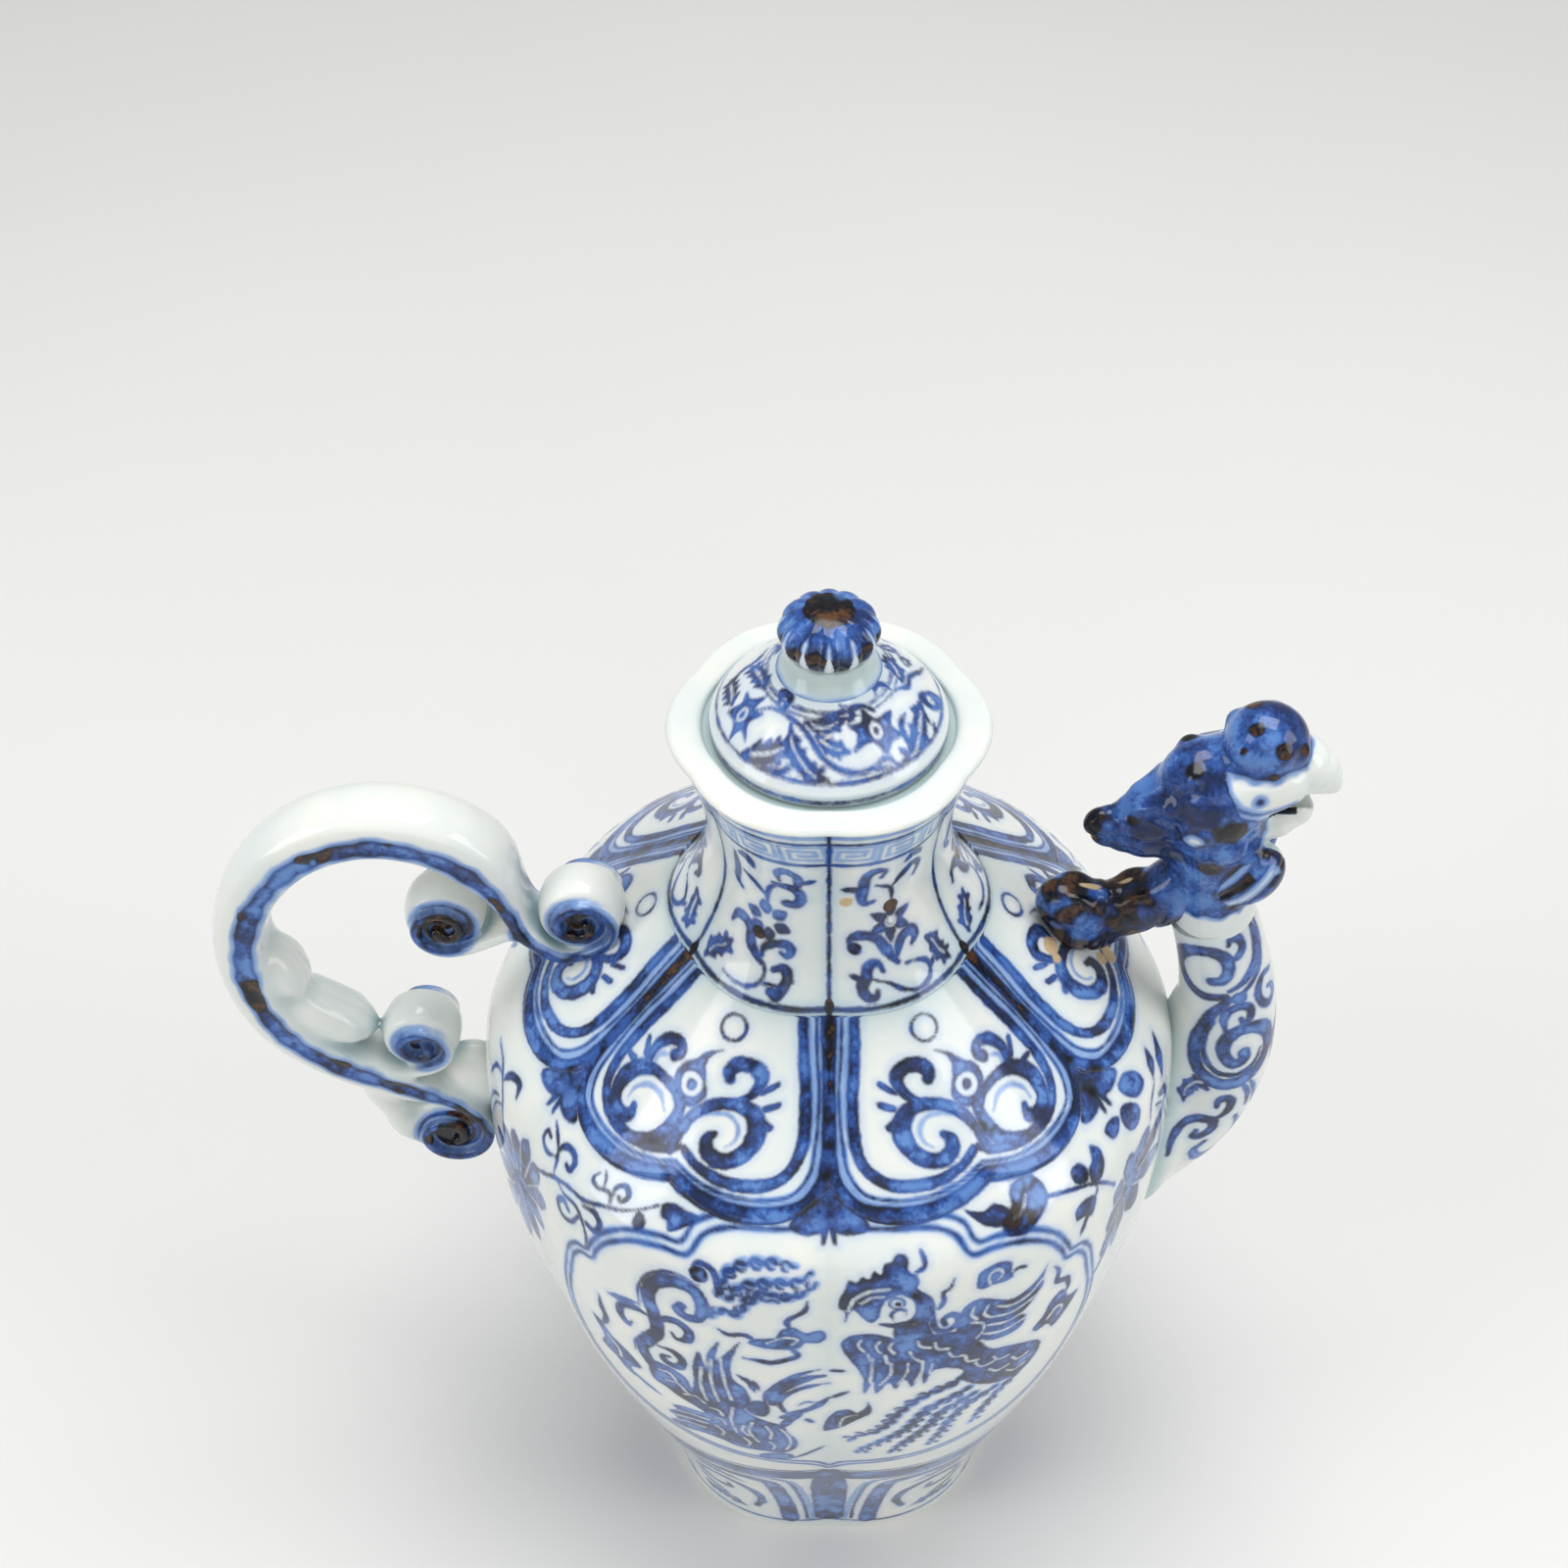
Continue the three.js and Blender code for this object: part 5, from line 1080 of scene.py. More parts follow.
def neck_piece():
    """The profile carried round the axis, with the lobe factor fading from the lip's outside to its bore."""
    turn = around(440)
    plain, z = neck_line[:, :1], neck_line[:, 1:]
    depth = 0.05 * smooth((neck_run[:, None] + 8.5) / 5.0)
    grid = revolve(plain * lobe(turn[None, :], depth), turn, z)
    s = neck_run[:, None] + 0 * turn
    sheet = Sheet(plain * (turn - np.pi), s)
    for k in range(6):
        off = (turn - np.radians(60 * k) + np.pi) % (2 * np.pi) - np.pi
        chart = Sheet(plain * off, s, sheet.fields)
        chart.paint(neck_bands)
        odd = 60 * k in (300, 180, 60)
        chart.paint(neck_spray_b if odd else neck_spray_a, (-12.7 if odd else 12.7, 0))
        for place in (-9.7, 0, 9.7):
            chart.paint([fret], (place, 10.6))
        at_cleft = np.abs(np.abs(off) - HALF_LOBE) * plain - 0.5
        line = np.where(s > 2.5, at_cleft, FAR).ravel()
        chart.fields["ink"][:] = np.minimum(chart.fields["ink"], line)
        blob = np.hypot(at_cleft + 0.5, (s - 51) / 1.5) - 1.2
        chart.fields["iron"][:] = np.maximum(chart.fields["iron"], 0.9 * smooth(0.5 - blob.ravel()))
    scar = np.hypot(plain * (turn - np.radians(277)), s - 27) - 1.4
    sheet.fields["grit"][:] = np.minimum(sheet.fields["grit"], scar.ravel())
    fields = sheet.done()
    off = np.abs((turn + HALF_LOBE) % (2 * HALF_LOBE) - HALF_LOBE)
    # Thick glaze and painted shade: in the clefts, where the skirt meets the shoulder, and darker all down
    # the bore inside the lip.
    fields["pool_and_shade"] = smooth(s / 4) * (0.5 * np.exp(-plain * (HALF_LOBE - off) / 2.5)
                                      + 0.8 * np.exp(-np.abs(s - 52) / 2.5))
    fields["pool_and_shade"] = np.maximum(fields["pool_and_shade"], 0.7 * smooth((-s - 4) / 3))
    piece = grid_piece("foliate_neck", grid, normals_of(grid, True, True), fields, round_rows=True)
    return finish(piece, body_glaze, "ewer", "white_glaze", "neck")


neck = neck_piece()

# %% [markdown]
# ## The lid
# A small domed cap with a bare clay flange that keeps it in the neck, and a knob like a bud with twelve
# petals. The dome is a polar grid: rings out from the middle, over the edge and back underneath.

# %% What is painted on the lid
lid_rings = join(ring(0, 0, 11.6, 0.3), ring(0, 0, 12.6, 0.14))
lid_spray = bolder(join(
    brush([(-14, 7.5), (-10, 9), (-7, 11.5), (-5, 13.2), (-3.5, 15), (-1, 18), (2.5, 19.5), (6, 19.3),
           (9, 17.5), (10.5, 15)], 0.4),
    brush([(-5, 13), (0, 12.3), (4, 10.5), (6.5, 9.7), (8, 9.9)], 0.5, (0.5, 1), iron=0.3),
    fill([(5.8, 9.8), (8.4, 11), (11.3, 8.8), (11.4, 11.3), (13.8, 11.5), (11.8, 13.6), (10.5, 16), (8, 15),
          (4.5, 17), (5.2, 14.4), (3.5, 13.5), (5.6, 12.4)]), ring(8.6, 13, 0.9, 0.3, "gap"),
    fill([(-19, 4), (-16.2, 4.6), (-15.2, 2.5), (-14.2, 5), (-11.5, 6.2), (-13.6, 7.4), (-12, 9.2),
          (-14.6, 9.4), (-15.3, 12), (-16.4, 9.6), (-18.5, 10), (-17.6, 7.4)]),
          ring(-16, 7, 0.9, 0.3, "gap"),
    leaf([(-16, 13.5), (-11, 15.6), (-6, 15.5)], 1.5, iron=0.3),
    leaf([(-7, 12.5), (-6.5, 16), (-3, 20), (0, 20.8)], 1.25),
    leaf([(-4.5, 12.5), (-1, 13.8), (3.5, 12)], 1.1, lobes=2),
    leaf([(-2.5, 15), (0.5, 16.6), (3.8, 17)], 1, lobes=2),
    leaf([(17, 3), (16.8, 8), (15.8, 13.5), (13, 16.8)], 1.5, iron=0.2),
    brush([(20.5, -1), (19, 1.5), (17, 3)], 1.6), ring(19, 1.4, 0.5, 0.3, "gap"),
    brush([(11, 6.5), (12.5, 4), (14.5, 2), (15, -1), (17, -5), (18, -9)], 0.4),
    leaf([(13.5, 1.5), (12, -1.5), (10.2, -3.5)], 1.5, lobes=2),
    leaf([(9.8, -6.5), (12.5, -9)], 1.2, lobes=2),
    leaf([(14.5, -4), (14, -7)], 1, lobes=2), leaf([(-18, 3.5), (-18.2, 0), (-18.5, -4)], 1.2),
    leaf([(-11.7, 4.5), (-13, 0), (-14.5, -4)], 1.3),
    brush([(-19, -3), (-16, -4.5), (-13.5, -5), (-11.5, -8)], 0.4),
    brush([(-10, -8.5), (-9.3, -6), (-10, -4)], 0.5),
    brush([(8.5, 7), (8.3, 5.3), (10, 4.3), (11.5, 4.8)], 0.55),
    brush([(-9, 8), (-8.5, 6.5), (-7, 8), (-8, 9.5)], 0.75, (0.5, 0.8), iron=0.5),
    # the far side, which the photograph hides, in the same hand
    fill([(-2.8, -16), (-0.6, -14.4), (2, -16.6), (2.2, -14), (4.6, -13.4), (2.8, -11.6), (1.2, -9.8),
          (-1, -11), (-4, -9.8), (-3.4, -12.4), (-5.2, -13.6), (-3.2, -14.4)]),
          ring(-0.2, -13.2, 0.9, 0.3, "gap"),
    leaf([(-6, -14), (-10, -15.6), (-12.6, -14)], 1.3), leaf([(6, -15.4), (9.6, -15), (12, -12.4)], 1.3),
    leaf([(-4, -18.6), (-0.5, -19.8), (3, -18.8)], 1.1, lobes=2),
    # more leaves between them
    leaf([(-20.4, 8), (-19.4, 12), (-16.5, 15.4)], 1, lobes=2),
    brush([(-12.4, 17.2), (-9, 18.6), (-6, 18.4)], 0.5),
    leaf([(8.6, 18.4), (11.6, 16.8), (13.4, 18.2)], 0.9, lobes=2),
    brush([(2, 10.2), (4.2, 11.4), (3.4, 12.8)], 0.6),
    brush([(14, 8), (13.2, 10.6), (14.6, 13)], 0.55), brush([(19.4, 6), (20, 9), (18.6, 12.4)], 0.6),
), 0.05)


def dome_height(r):
    """A dome with a steep edge: the power 0.8 of a quarter cosine."""
    return 231.3 + 14.7 * np.maximum(np.cos(np.pi / 2 * r / 22.6), 0) ** 0.8


def lid_dome():
    """Rings from the middle of the top, over the edge and back to the middle underneath."""
    over = np.concatenate([np.linspace(0.4, 20, 46), 22.6 * np.sin(np.linspace(1.09, np.pi / 2 - 0.05, 12))])
    edge = [(22.55, 231.0), (22.6, 230.4), (22.6, 229.5), (22.35, 229.0), (21.8, 228.72), (19.0, 228.72),
            (17.2, 228.72)]
    under = np.linspace(16.4, 0.5, 12)
    line = np.vstack([np.column_stack([over, dome_height(over)]), edge,
                      np.column_stack([under, dome_height(under) - 3.4 - 3.0 * smooth((under - 8) / 8)])])
    turn = around(320)
    r, z = line[:, :1], line[:, 1:]
    grid = revolve(r, turn, z)
    sheet = Sheet(grid[..., 0], -grid[..., 1])
    sheet.paint(lid_spray)
    steep = np.hypot(sheet.x, sheet.s) > 20.8
    for name in ("ink", "wash", "iron"):
        sheet.fields[name][steep] = 0 if name == "iron" else FAR
    sheet.paint(lid_rings)
    fields = sheet.done()
    fields["ink"] = np.minimum(fields["ink"], np.minimum(np.abs(z - 233.6) - 0.3, np.abs(z - 230.0) - 0.6))
    below = np.arange(len(line))[:, None] > len(over) + 2
    for name in ("ink", "wash", "grit"):
        fields[name] = np.where(below, FAR, fields[name])
    # Thick glaze and painted shade in a ring round the knob's foot, and a little at the lid's edge.
    pool_and_shade = 0.5 * np.exp(-np.abs(r - 9.8) / 1.0) + 0.1 * np.exp(-np.abs(r - 22.6) / 0.3)
    fields["pool_and_shade"] = pool_and_shade * (z > 229) + 0 * turn
    piece = grid_piece("lid_dome_painted", grid, normals_of(grid, True), fields, close=(0, 1))
    return finish(piece, body_glaze, "lid", "white_glaze", "lid_dome")


lid = lid_dome()

# %% The flange and the knob
def lid_flange():
    """A bare ring of clay: a rounded rectangle carried round the axis."""
    line = np.array([(17.0, 228.3), (17.0, 225), (17.0, 222), (17.05, 220.4), (17.4, 219.85), (17.9, 219.72),
                     (18.9, 219.72), (19.35, 219.95), (19.55, 220.6), (19.6, 222), (19.6, 225),
                     (19.6, 228.35), (18.3, 228.38)])[::-1]
    grid = revolve(line[:, :1], around(192), line[:, 1:])
    piece = grid_piece("lid_flange_bare", grid, normals_of(grid, True, True), {}, round_rows=True)
    return finish(piece, clay, "lid", "bare_clay", "lid_flange")


def knob():
    """A waisted stem under a melon of twelve petals: the radius swells between the petals' grooves, which
    fade towards the top, where a small boss stands."""
    foot = np.array([(10.6, 242.9), (9.9, 243.5), (8.9, 244.4), (8.0, 245.5), (7.5, 246.7), (7.55, 247.6),
                     (7.9, 248.4)])
    up = np.radians(np.linspace(-46, 84, 56))
    ball = np.column_stack([9.55 * np.cos(up) ** 0.86, 252.3 + 5.65 * np.sin(up)])
    line = np.vstack([[(0.6, 244.4), (6, 243.6)], foot, ball])[::-1]
    turn = around(300)
    rise = np.concatenate([up[::-1], np.full(len(line) - len(up), -1.2)])[:, None]
    petal = np.abs(np.cos(6 * turn))
    deep = 0.11 * smooth((rise + 0.95) / 0.5) * smooth((1.32 - rise) / 0.5)
    r = line[:, :1] * (1 - deep * (1 - petal**0.6))
    boss = 0.7 * smooth((1.6 - line[:, :1]) / 1.6)
    grid = revolve(r, turn, line[:, 1:] - 0.25 + boss * 0.5)
    zeros = np.zeros(grid.shape[:2])
    gap_line = np.abs(line[:, :1] * ((turn * 12 / (2 * np.pi) + 0.5) % 1 - 0.5) * 2 * np.pi / 12)
    open_gap = 0.4 + 0.85 * smooth((0.5 - rise) / 0.8) - 0.7 * smooth((rise - 0.5) / 0.35)
    ink = np.where(rise > -0.75, open_gap - gap_line, FAR)
    on_stem = np.abs(line[:, :1] - 10.1) - 0.12
    ink = np.minimum(ink, np.where(rise < -1, on_stem, FAR))
    iron = 0.8 * smooth((0.55 - rise) / 0.5) * (rise > -0.9) + 0.95 * smooth((rise - 0.98) / 0.2) + zeros
    # the stem under the melon gets thick glaze and painted shade
    fields = {"ink": ink, "wash": ink - 0.4, "iron": iron * (ink < 0.4), "grit": zeros + FAR,
              "pool_and_shade": 0.6 * smooth((-rise - 0.6) / 0.4) + zeros}
    piece = grid_piece("lid_knob_petalled", grid, normals_of(grid, True), fields, close=(0, 1))
    return finish(piece, dark_glaze, "lid", "cobalt_glaze", "lid_knob")


flange, bud = lid_flange(), knob()

# %% [markdown]
# ## The spout
# The spout is a tapering tube bent in an S and luted to the belly. Round tubes are circles carried along a
# path; where the clay meets the body the circle swells, as the potter's thumb smeared the joint.

# %% Tubes along a path
def bezier(a, b, c, d, count):
    """A cubic curve from a to d that leaves towards b and arrives from c."""
    t = np.linspace(0, 1, count)[:, None]
    return (1 - t) ** 3 * np.array(a) + 3 * t * (1 - t) ** 2 * np.array(b) + 3 * t * t * (1 - t) * np.array(
        c) + t**3 * np.array(d)


SPOUT_TOP = np.array([78.4, 176.0])
spout_path = even(bezier((body_radius(104.0) - 9, 99), (89, 115), (89, 147.2), (77.9, 177.5), 400),
                  0.4)[::-1]

# %% What is painted on the spout
spout_scrolls = bolder(join(
    brush([(8.3, 0), (8.5, 5), (7.3, 10), (4, 14.3), (0, 16.5)], 0.9),
    brush([(9.8, 0), (9.8, 7), (7.5, 13.5), (3, 17.5), (-1, 19)], 0.45),
    brush([(-1, 18), (-6, 18.3), (-10, 16), (-11.5, 11.5), (-9.5, 7), (-6, 4.3), (-2.5, 4), (0.5, 6.5),
           (0.8, 10), (-1, 13), (-3.2, 13.3)], 1.35, (0.6, 0.8)),
    brush([(1, 7.5), (3, 7.5), (4.7, 5.5), (4.3, 2.8), (2.8, 2), (2, 3.5)], 0.8),
    ring(1.8, 19, 0.5, 1, iron=0.5),
    brush([(-1, 19.5), (-4.5, 24), (-7, 30), (-8.3, 36), (-6.5, 42), (-2, 45), (3, 44.5), (7.5, 41.5),
           (9.5, 37), (8.5, 32), (5.5, 29), (2, 28.5), (-0.5, 30), (-1.8, 33.5), (-1, 37), (1, 38.8),
           (3, 37.5), (2.8, 35.5)],
          1.5, (0.6, 0.8), iron=0.25),
    brush([(-4, 26), (-6, 32), (-5.5, 38), (-2, 41.8), (3, 41.8), (6, 39.5), (7, 36)], 0.5),
    brush([(-1.5, 28.5), (-1.8, 25), (-0.5, 22.3), (2, 21.5), (4, 23), (3.8, 25.8), (2.3, 26.5), (1.8, 25)],
          0.9),
    brush([(11, 17), (8, 16.5), (6.3, 19.5), (7, 23), (9.5, 25), (11.3, 23.5), (10.5, 21), (9.3, 20.5)],
          0.85),
    leaf([(-7, 53.5), (-7.5, 50), (-5.5, 46.5), (-2.5, 46)], 1.5),
    brush([(4.5, 45.5), (7, 49), (8.5, 53)], 0.5),
    brush([(6.5, 45.5), (9, 49), (10.5, 53)], 0.45),
    brush([(0.5, 52.5), (0.3, 50.5), (2, 49.5), (3.5, 51), (3.5, 54), (2, 56)], 0.9),
    brush([(-2.5, 69.5), (-4.5, 65), (-4.3, 60), (-1.5, 57), (1.5, 57), (2.5, 59.5), (1, 62.5), (-0.5, 63),
           (-0.5, 61)], 1.05),
    brush([(7, 56), (10.5, 60), (10.5, 66), (6.5, 69), (3, 67), (3.6, 63.6)], 1),
    brush([(14, 30), (12, 36), (13.6, 42), (16, 46)], 0.8), brush([(12.5, 50), (14.5, 56), (13.5, 63)], 0.7),
), 0.3)


def spout_piece():
    """Circles square to the path, tried once to see how near the body they come, then swollen there."""
    away = way_and_side(-spout_path)[1]
    away *= np.sign(away[:1, 0])
    turn = around(172)[None, :]

    def tube(radius):
        x, z = (spout_path[:, k : k + 1] + away[:, k : k + 1] * radius * np.sin(turn) for k in (0, 1))
        return x, -radius * np.cos(turn), z

    radius = mix(13.3, 8.7, np.clip((spout_path[:, 1] - 104) / 72, 0, 1))[:, None]
    x, y, z = tube(radius)
    off_body = np.hypot(x, y) - body_radius(z) * lobe(np.arctan2(y, x), body_cleft(z))
    radius = radius + 2.3 * smooth(1 - off_body / 6.5) ** 1.6 * (off_body > -3)
    grid = np.stack(tube(radius), axis=-1)
    s = 0.4 * np.arange(len(spout_path))[:, None] + 0 * turn
    near = (turn + np.pi) % (2 * np.pi) - np.pi
    far = (np.pi - turn + np.pi) % (2 * np.pi) - np.pi
    sheet = Sheet(near * radius, s)
    sheet.paint(spout_scrolls)
    Sheet(far * radius, s, sheet.fields).paint(spout_scrolls)
    fields = sheet.done()
    # Thick glaze and painted shade where the spout meets the body and at its top under the head.
    fields["pool_and_shade"] = 0.8 * smooth(1 - off_body / 5) + 0.4 * np.exp(-s / 2.5)
    piece = grid_piece("spout_tube", grid, normals_of(grid, True), fields, close=(0, 1))
    return finish(piece, body_glaze, "ewer", "white_glaze", "spout")


spout = spout_piece()

# %% [markdown]
# ## The phoenix head
# The head was modelled by hand: a ball of a crest, curls, a hooked beak and a feather swept back, all melted
# together by thick glaze. Sculpting or metaballs could do this, but a distance field keeps control: each
# form says how far any point in space is from its surface, and a soft minimum melts them together. A grid
# of points then finds the surface, with one mesh point in every cell that the surface crosses.

# %% Forms as distances
def melt(a, b, k):
    """The lesser of two distances, with a fillet of about k mm where they meet."""
    h = np.maximum(k - np.abs(a - b), 0) / k
    return np.minimum(a, b) - h * h * k / 4


def egg(p, centre, size, tilt=0.0):
    """Distance to an ellipsoid whose long axis is tilted up by tilt degrees: the scaled radius less one,
    brought back to millimetres by its slope."""
    c, s = math.cos(math.radians(tilt)), math.sin(math.radians(tilt))
    x, y, z = (p[k] - centre[k] for k in range(3))
    u, w = c * x + s * z, c * z - s * x
    k0 = np.sqrt((u / size[0]) ** 2 + (y / size[1]) ** 2 + (w / size[2]) ** 2)
    k1 = np.sqrt((u / size[0] ** 2) ** 2 + (y / size[1] ** 2) ** 2 + (w / size[2] ** 2) ** 2)
    return k0 * (k0 - 1) / np.maximum(k1, 1e-6)


def horn(p, line, radii, flat=1.0):
    """Distance to a chain of tapering rods; flat squeezes it across Y. Line points are (x, y, z)."""
    best = np.full(np.broadcast(*p).shape, 99.0)
    line, radii = np.asarray(line, float), np.asarray(radii, float)
    for a, b, ra, rb in zip(line, line[1:], radii, radii[1:]):
        way = b - a
        q = [p[0] - a[0], p[1] - a[1], p[2] - a[2]]
        t = np.clip((q[0] * way[0] + q[1] * way[1] + q[2] * way[2]) / (way @ way), 0, 1)
        d = np.sqrt((q[0] - t * way[0]) ** 2 + ((q[1] - t * way[1]) / flat) ** 2 + (q[2] - t * way[2]) ** 2)
        best = np.minimum(best, (d - (ra + t * (rb - ra))) * min(1, flat))
    return best


def surface_net(form, low, high, cell):
    """Finds the zero surface of form on a grid: a point in each crossed cell at the mean of its edge
    crossings, then a quad round each crossed grid edge, turned to face outwards. It also gives the normals,
    from how the distance changes, and how hollow each place is: 0 where open, 1 in a tight corner."""
    axes = [np.arange(a, b + cell, cell) for a, b in zip(low, high)]
    d = form(np.meshgrid(*axes, indexing="ij", sparse=True)).astype(np.float32)
    inside = d < 0
    shape = tuple(n - 1 for n in d.shape)
    total, count = np.zeros((*shape, 3)), np.zeros(shape)
    corner = lambda v, i, j, k: v[i : i + shape[0], j : j + shape[1], k : k + shape[2]]
    for axis in range(3):
        for u in (0, 1):
            for v in (0, 1):
                a = [u, v]
                a.insert(axis, 0)
                b = list(a)
                b[axis] = 1
                da, db = corner(d, *a), corner(d, *b)
                crossed = (da < 0) != (db < 0)
                t = np.where(crossed, da / np.where(crossed, da - db, 1), 0)
                for k in range(3):
                    total[..., k] += np.where(crossed, t if k == axis else a[k], 0)
                count += crossed
    used = count > 0
    index = np.full(shape, -1)
    index[used] = np.arange(used.sum())
    cells = np.argwhere(used)
    points = np.array(low) + cell * (cells + total[used] / count[used][:, None])
    faces = []
    for axis in range(3):
        b, c = [k for k in range(3) if k != axis]
        first = np.moveaxis(inside, axis, 0)
        at = np.argwhere(first[:-1] != first[1:])
        at = at[(at[:, 1] > 0) & (at[:, 2] > 0) & (at[:, 1] < shape[b]) & (at[:, 2] < shape[c])]
        grid = np.moveaxis(index, axis, 0)
        i, j, k = at.T
        quad = np.stack([grid[i, j - 1, k - 1], grid[i, j, k - 1], grid[i, j, k], grid[i, j - 1, k]], axis=1)
        outward = first[i, j, k] == (axis != 1)
        faces.append(np.where(outward[:, None], quad, quad[:, ::-1]))
    place = (points - low) / cell
    normals = np.stack([between(g, place) for g in np.gradient(d)], axis=1)
    normals /= np.maximum(np.linalg.norm(normals, axis=1, keepdims=True), 1e-9)
    hollow = np.clip(1.0 - between(d, place + normals * 1.4 / cell) / 1.4, 0, 1)
    return points, np.vstack(faces), normals, hollow


def modelled(name, form, paint, low, high, cell, *dress):
    """A piece whose surface is form's in the box from low to high, painted and dressed."""
    points, faces, normals, hollow = surface_net(form, low, high, cell)
    # How hollow each place is gives thick glaze and painted shade in the corners of the head, the strut and
    # the handle.
    fields = {"grit": np.full(len(points), FAR), **paint(points), "pool_and_shade": hollow}
    return finish(put_mesh(name, points, [faces], normals, fields), *dress)


def between(values, place):
    """The value of a grid at a place inside it: the mean of the eight corners, each by its nearness."""
    place = np.clip(place, 0, np.array(values.shape) - 1.001)
    low = place.astype(int)
    part = place - low
    out = 0
    for i in (0, 1):
        for j in (0, 1):
            for k in (0, 1):
                near = [part[:, m] if on else 1 - part[:, m] for m, on in enumerate((i, j, k))]
                out = out + near[0] * near[1] * near[2] * values[low[:, 0] + i, low[:, 1] + j, low[:, 2] + k]
    return out

# %% The head's form
HX, HZ = SPOUT_TOP
SKULL_FOOT, SKULL_TOP = 0.3, 48.2
skull_rows = np.array([(SKULL_FOOT, 0, 8.7, 8.7), (8, -1, 9.0, 8.6), (17, -1.8, 9.8, 8.8),
                       (25, -3.2, 10.6, 9.8), (32, -3, 11, 10.2), (40, -0.6, 11.8, 9.3),
                       (44.5, 1.6, 9.8, 7.4), (SKULL_TOP, 2, 5.6, 4.6)])
hood_line = np.array([(-20, 45.4), (1, 45.4), (5.7, 45.0), (8.4, 46.1), (12.3, 45.9), (13.4, 48.4), (15, 50),
                      (30, 50)])
lid_line = spline([(-3.4, 46), (-3.1, 43.1), (-1, 40.2), (0.6, 39.1), (4, 37.6), (7.3, 38), (10.4, 39)], 0.4)
cheek_line = np.array([(-3.4, 44.5), (0, 38.0), (5, 35.2), (7.5, 33), (9, 20)])
JOWL_X, JOWL_Z, JOWL_TILT = 4.6, 16.8, 52


def jowl_axes(x, z):
    """How far along the wattle's oval and across it a point lies from its middle."""
    c, s = math.cos(math.radians(JOWL_TILT)), math.sin(math.radians(JOWL_TILT))
    return c * (x - JOWL_X) + s * (z - JOWL_Z), c * (z - JOWL_Z) - s * (x - JOWL_X)


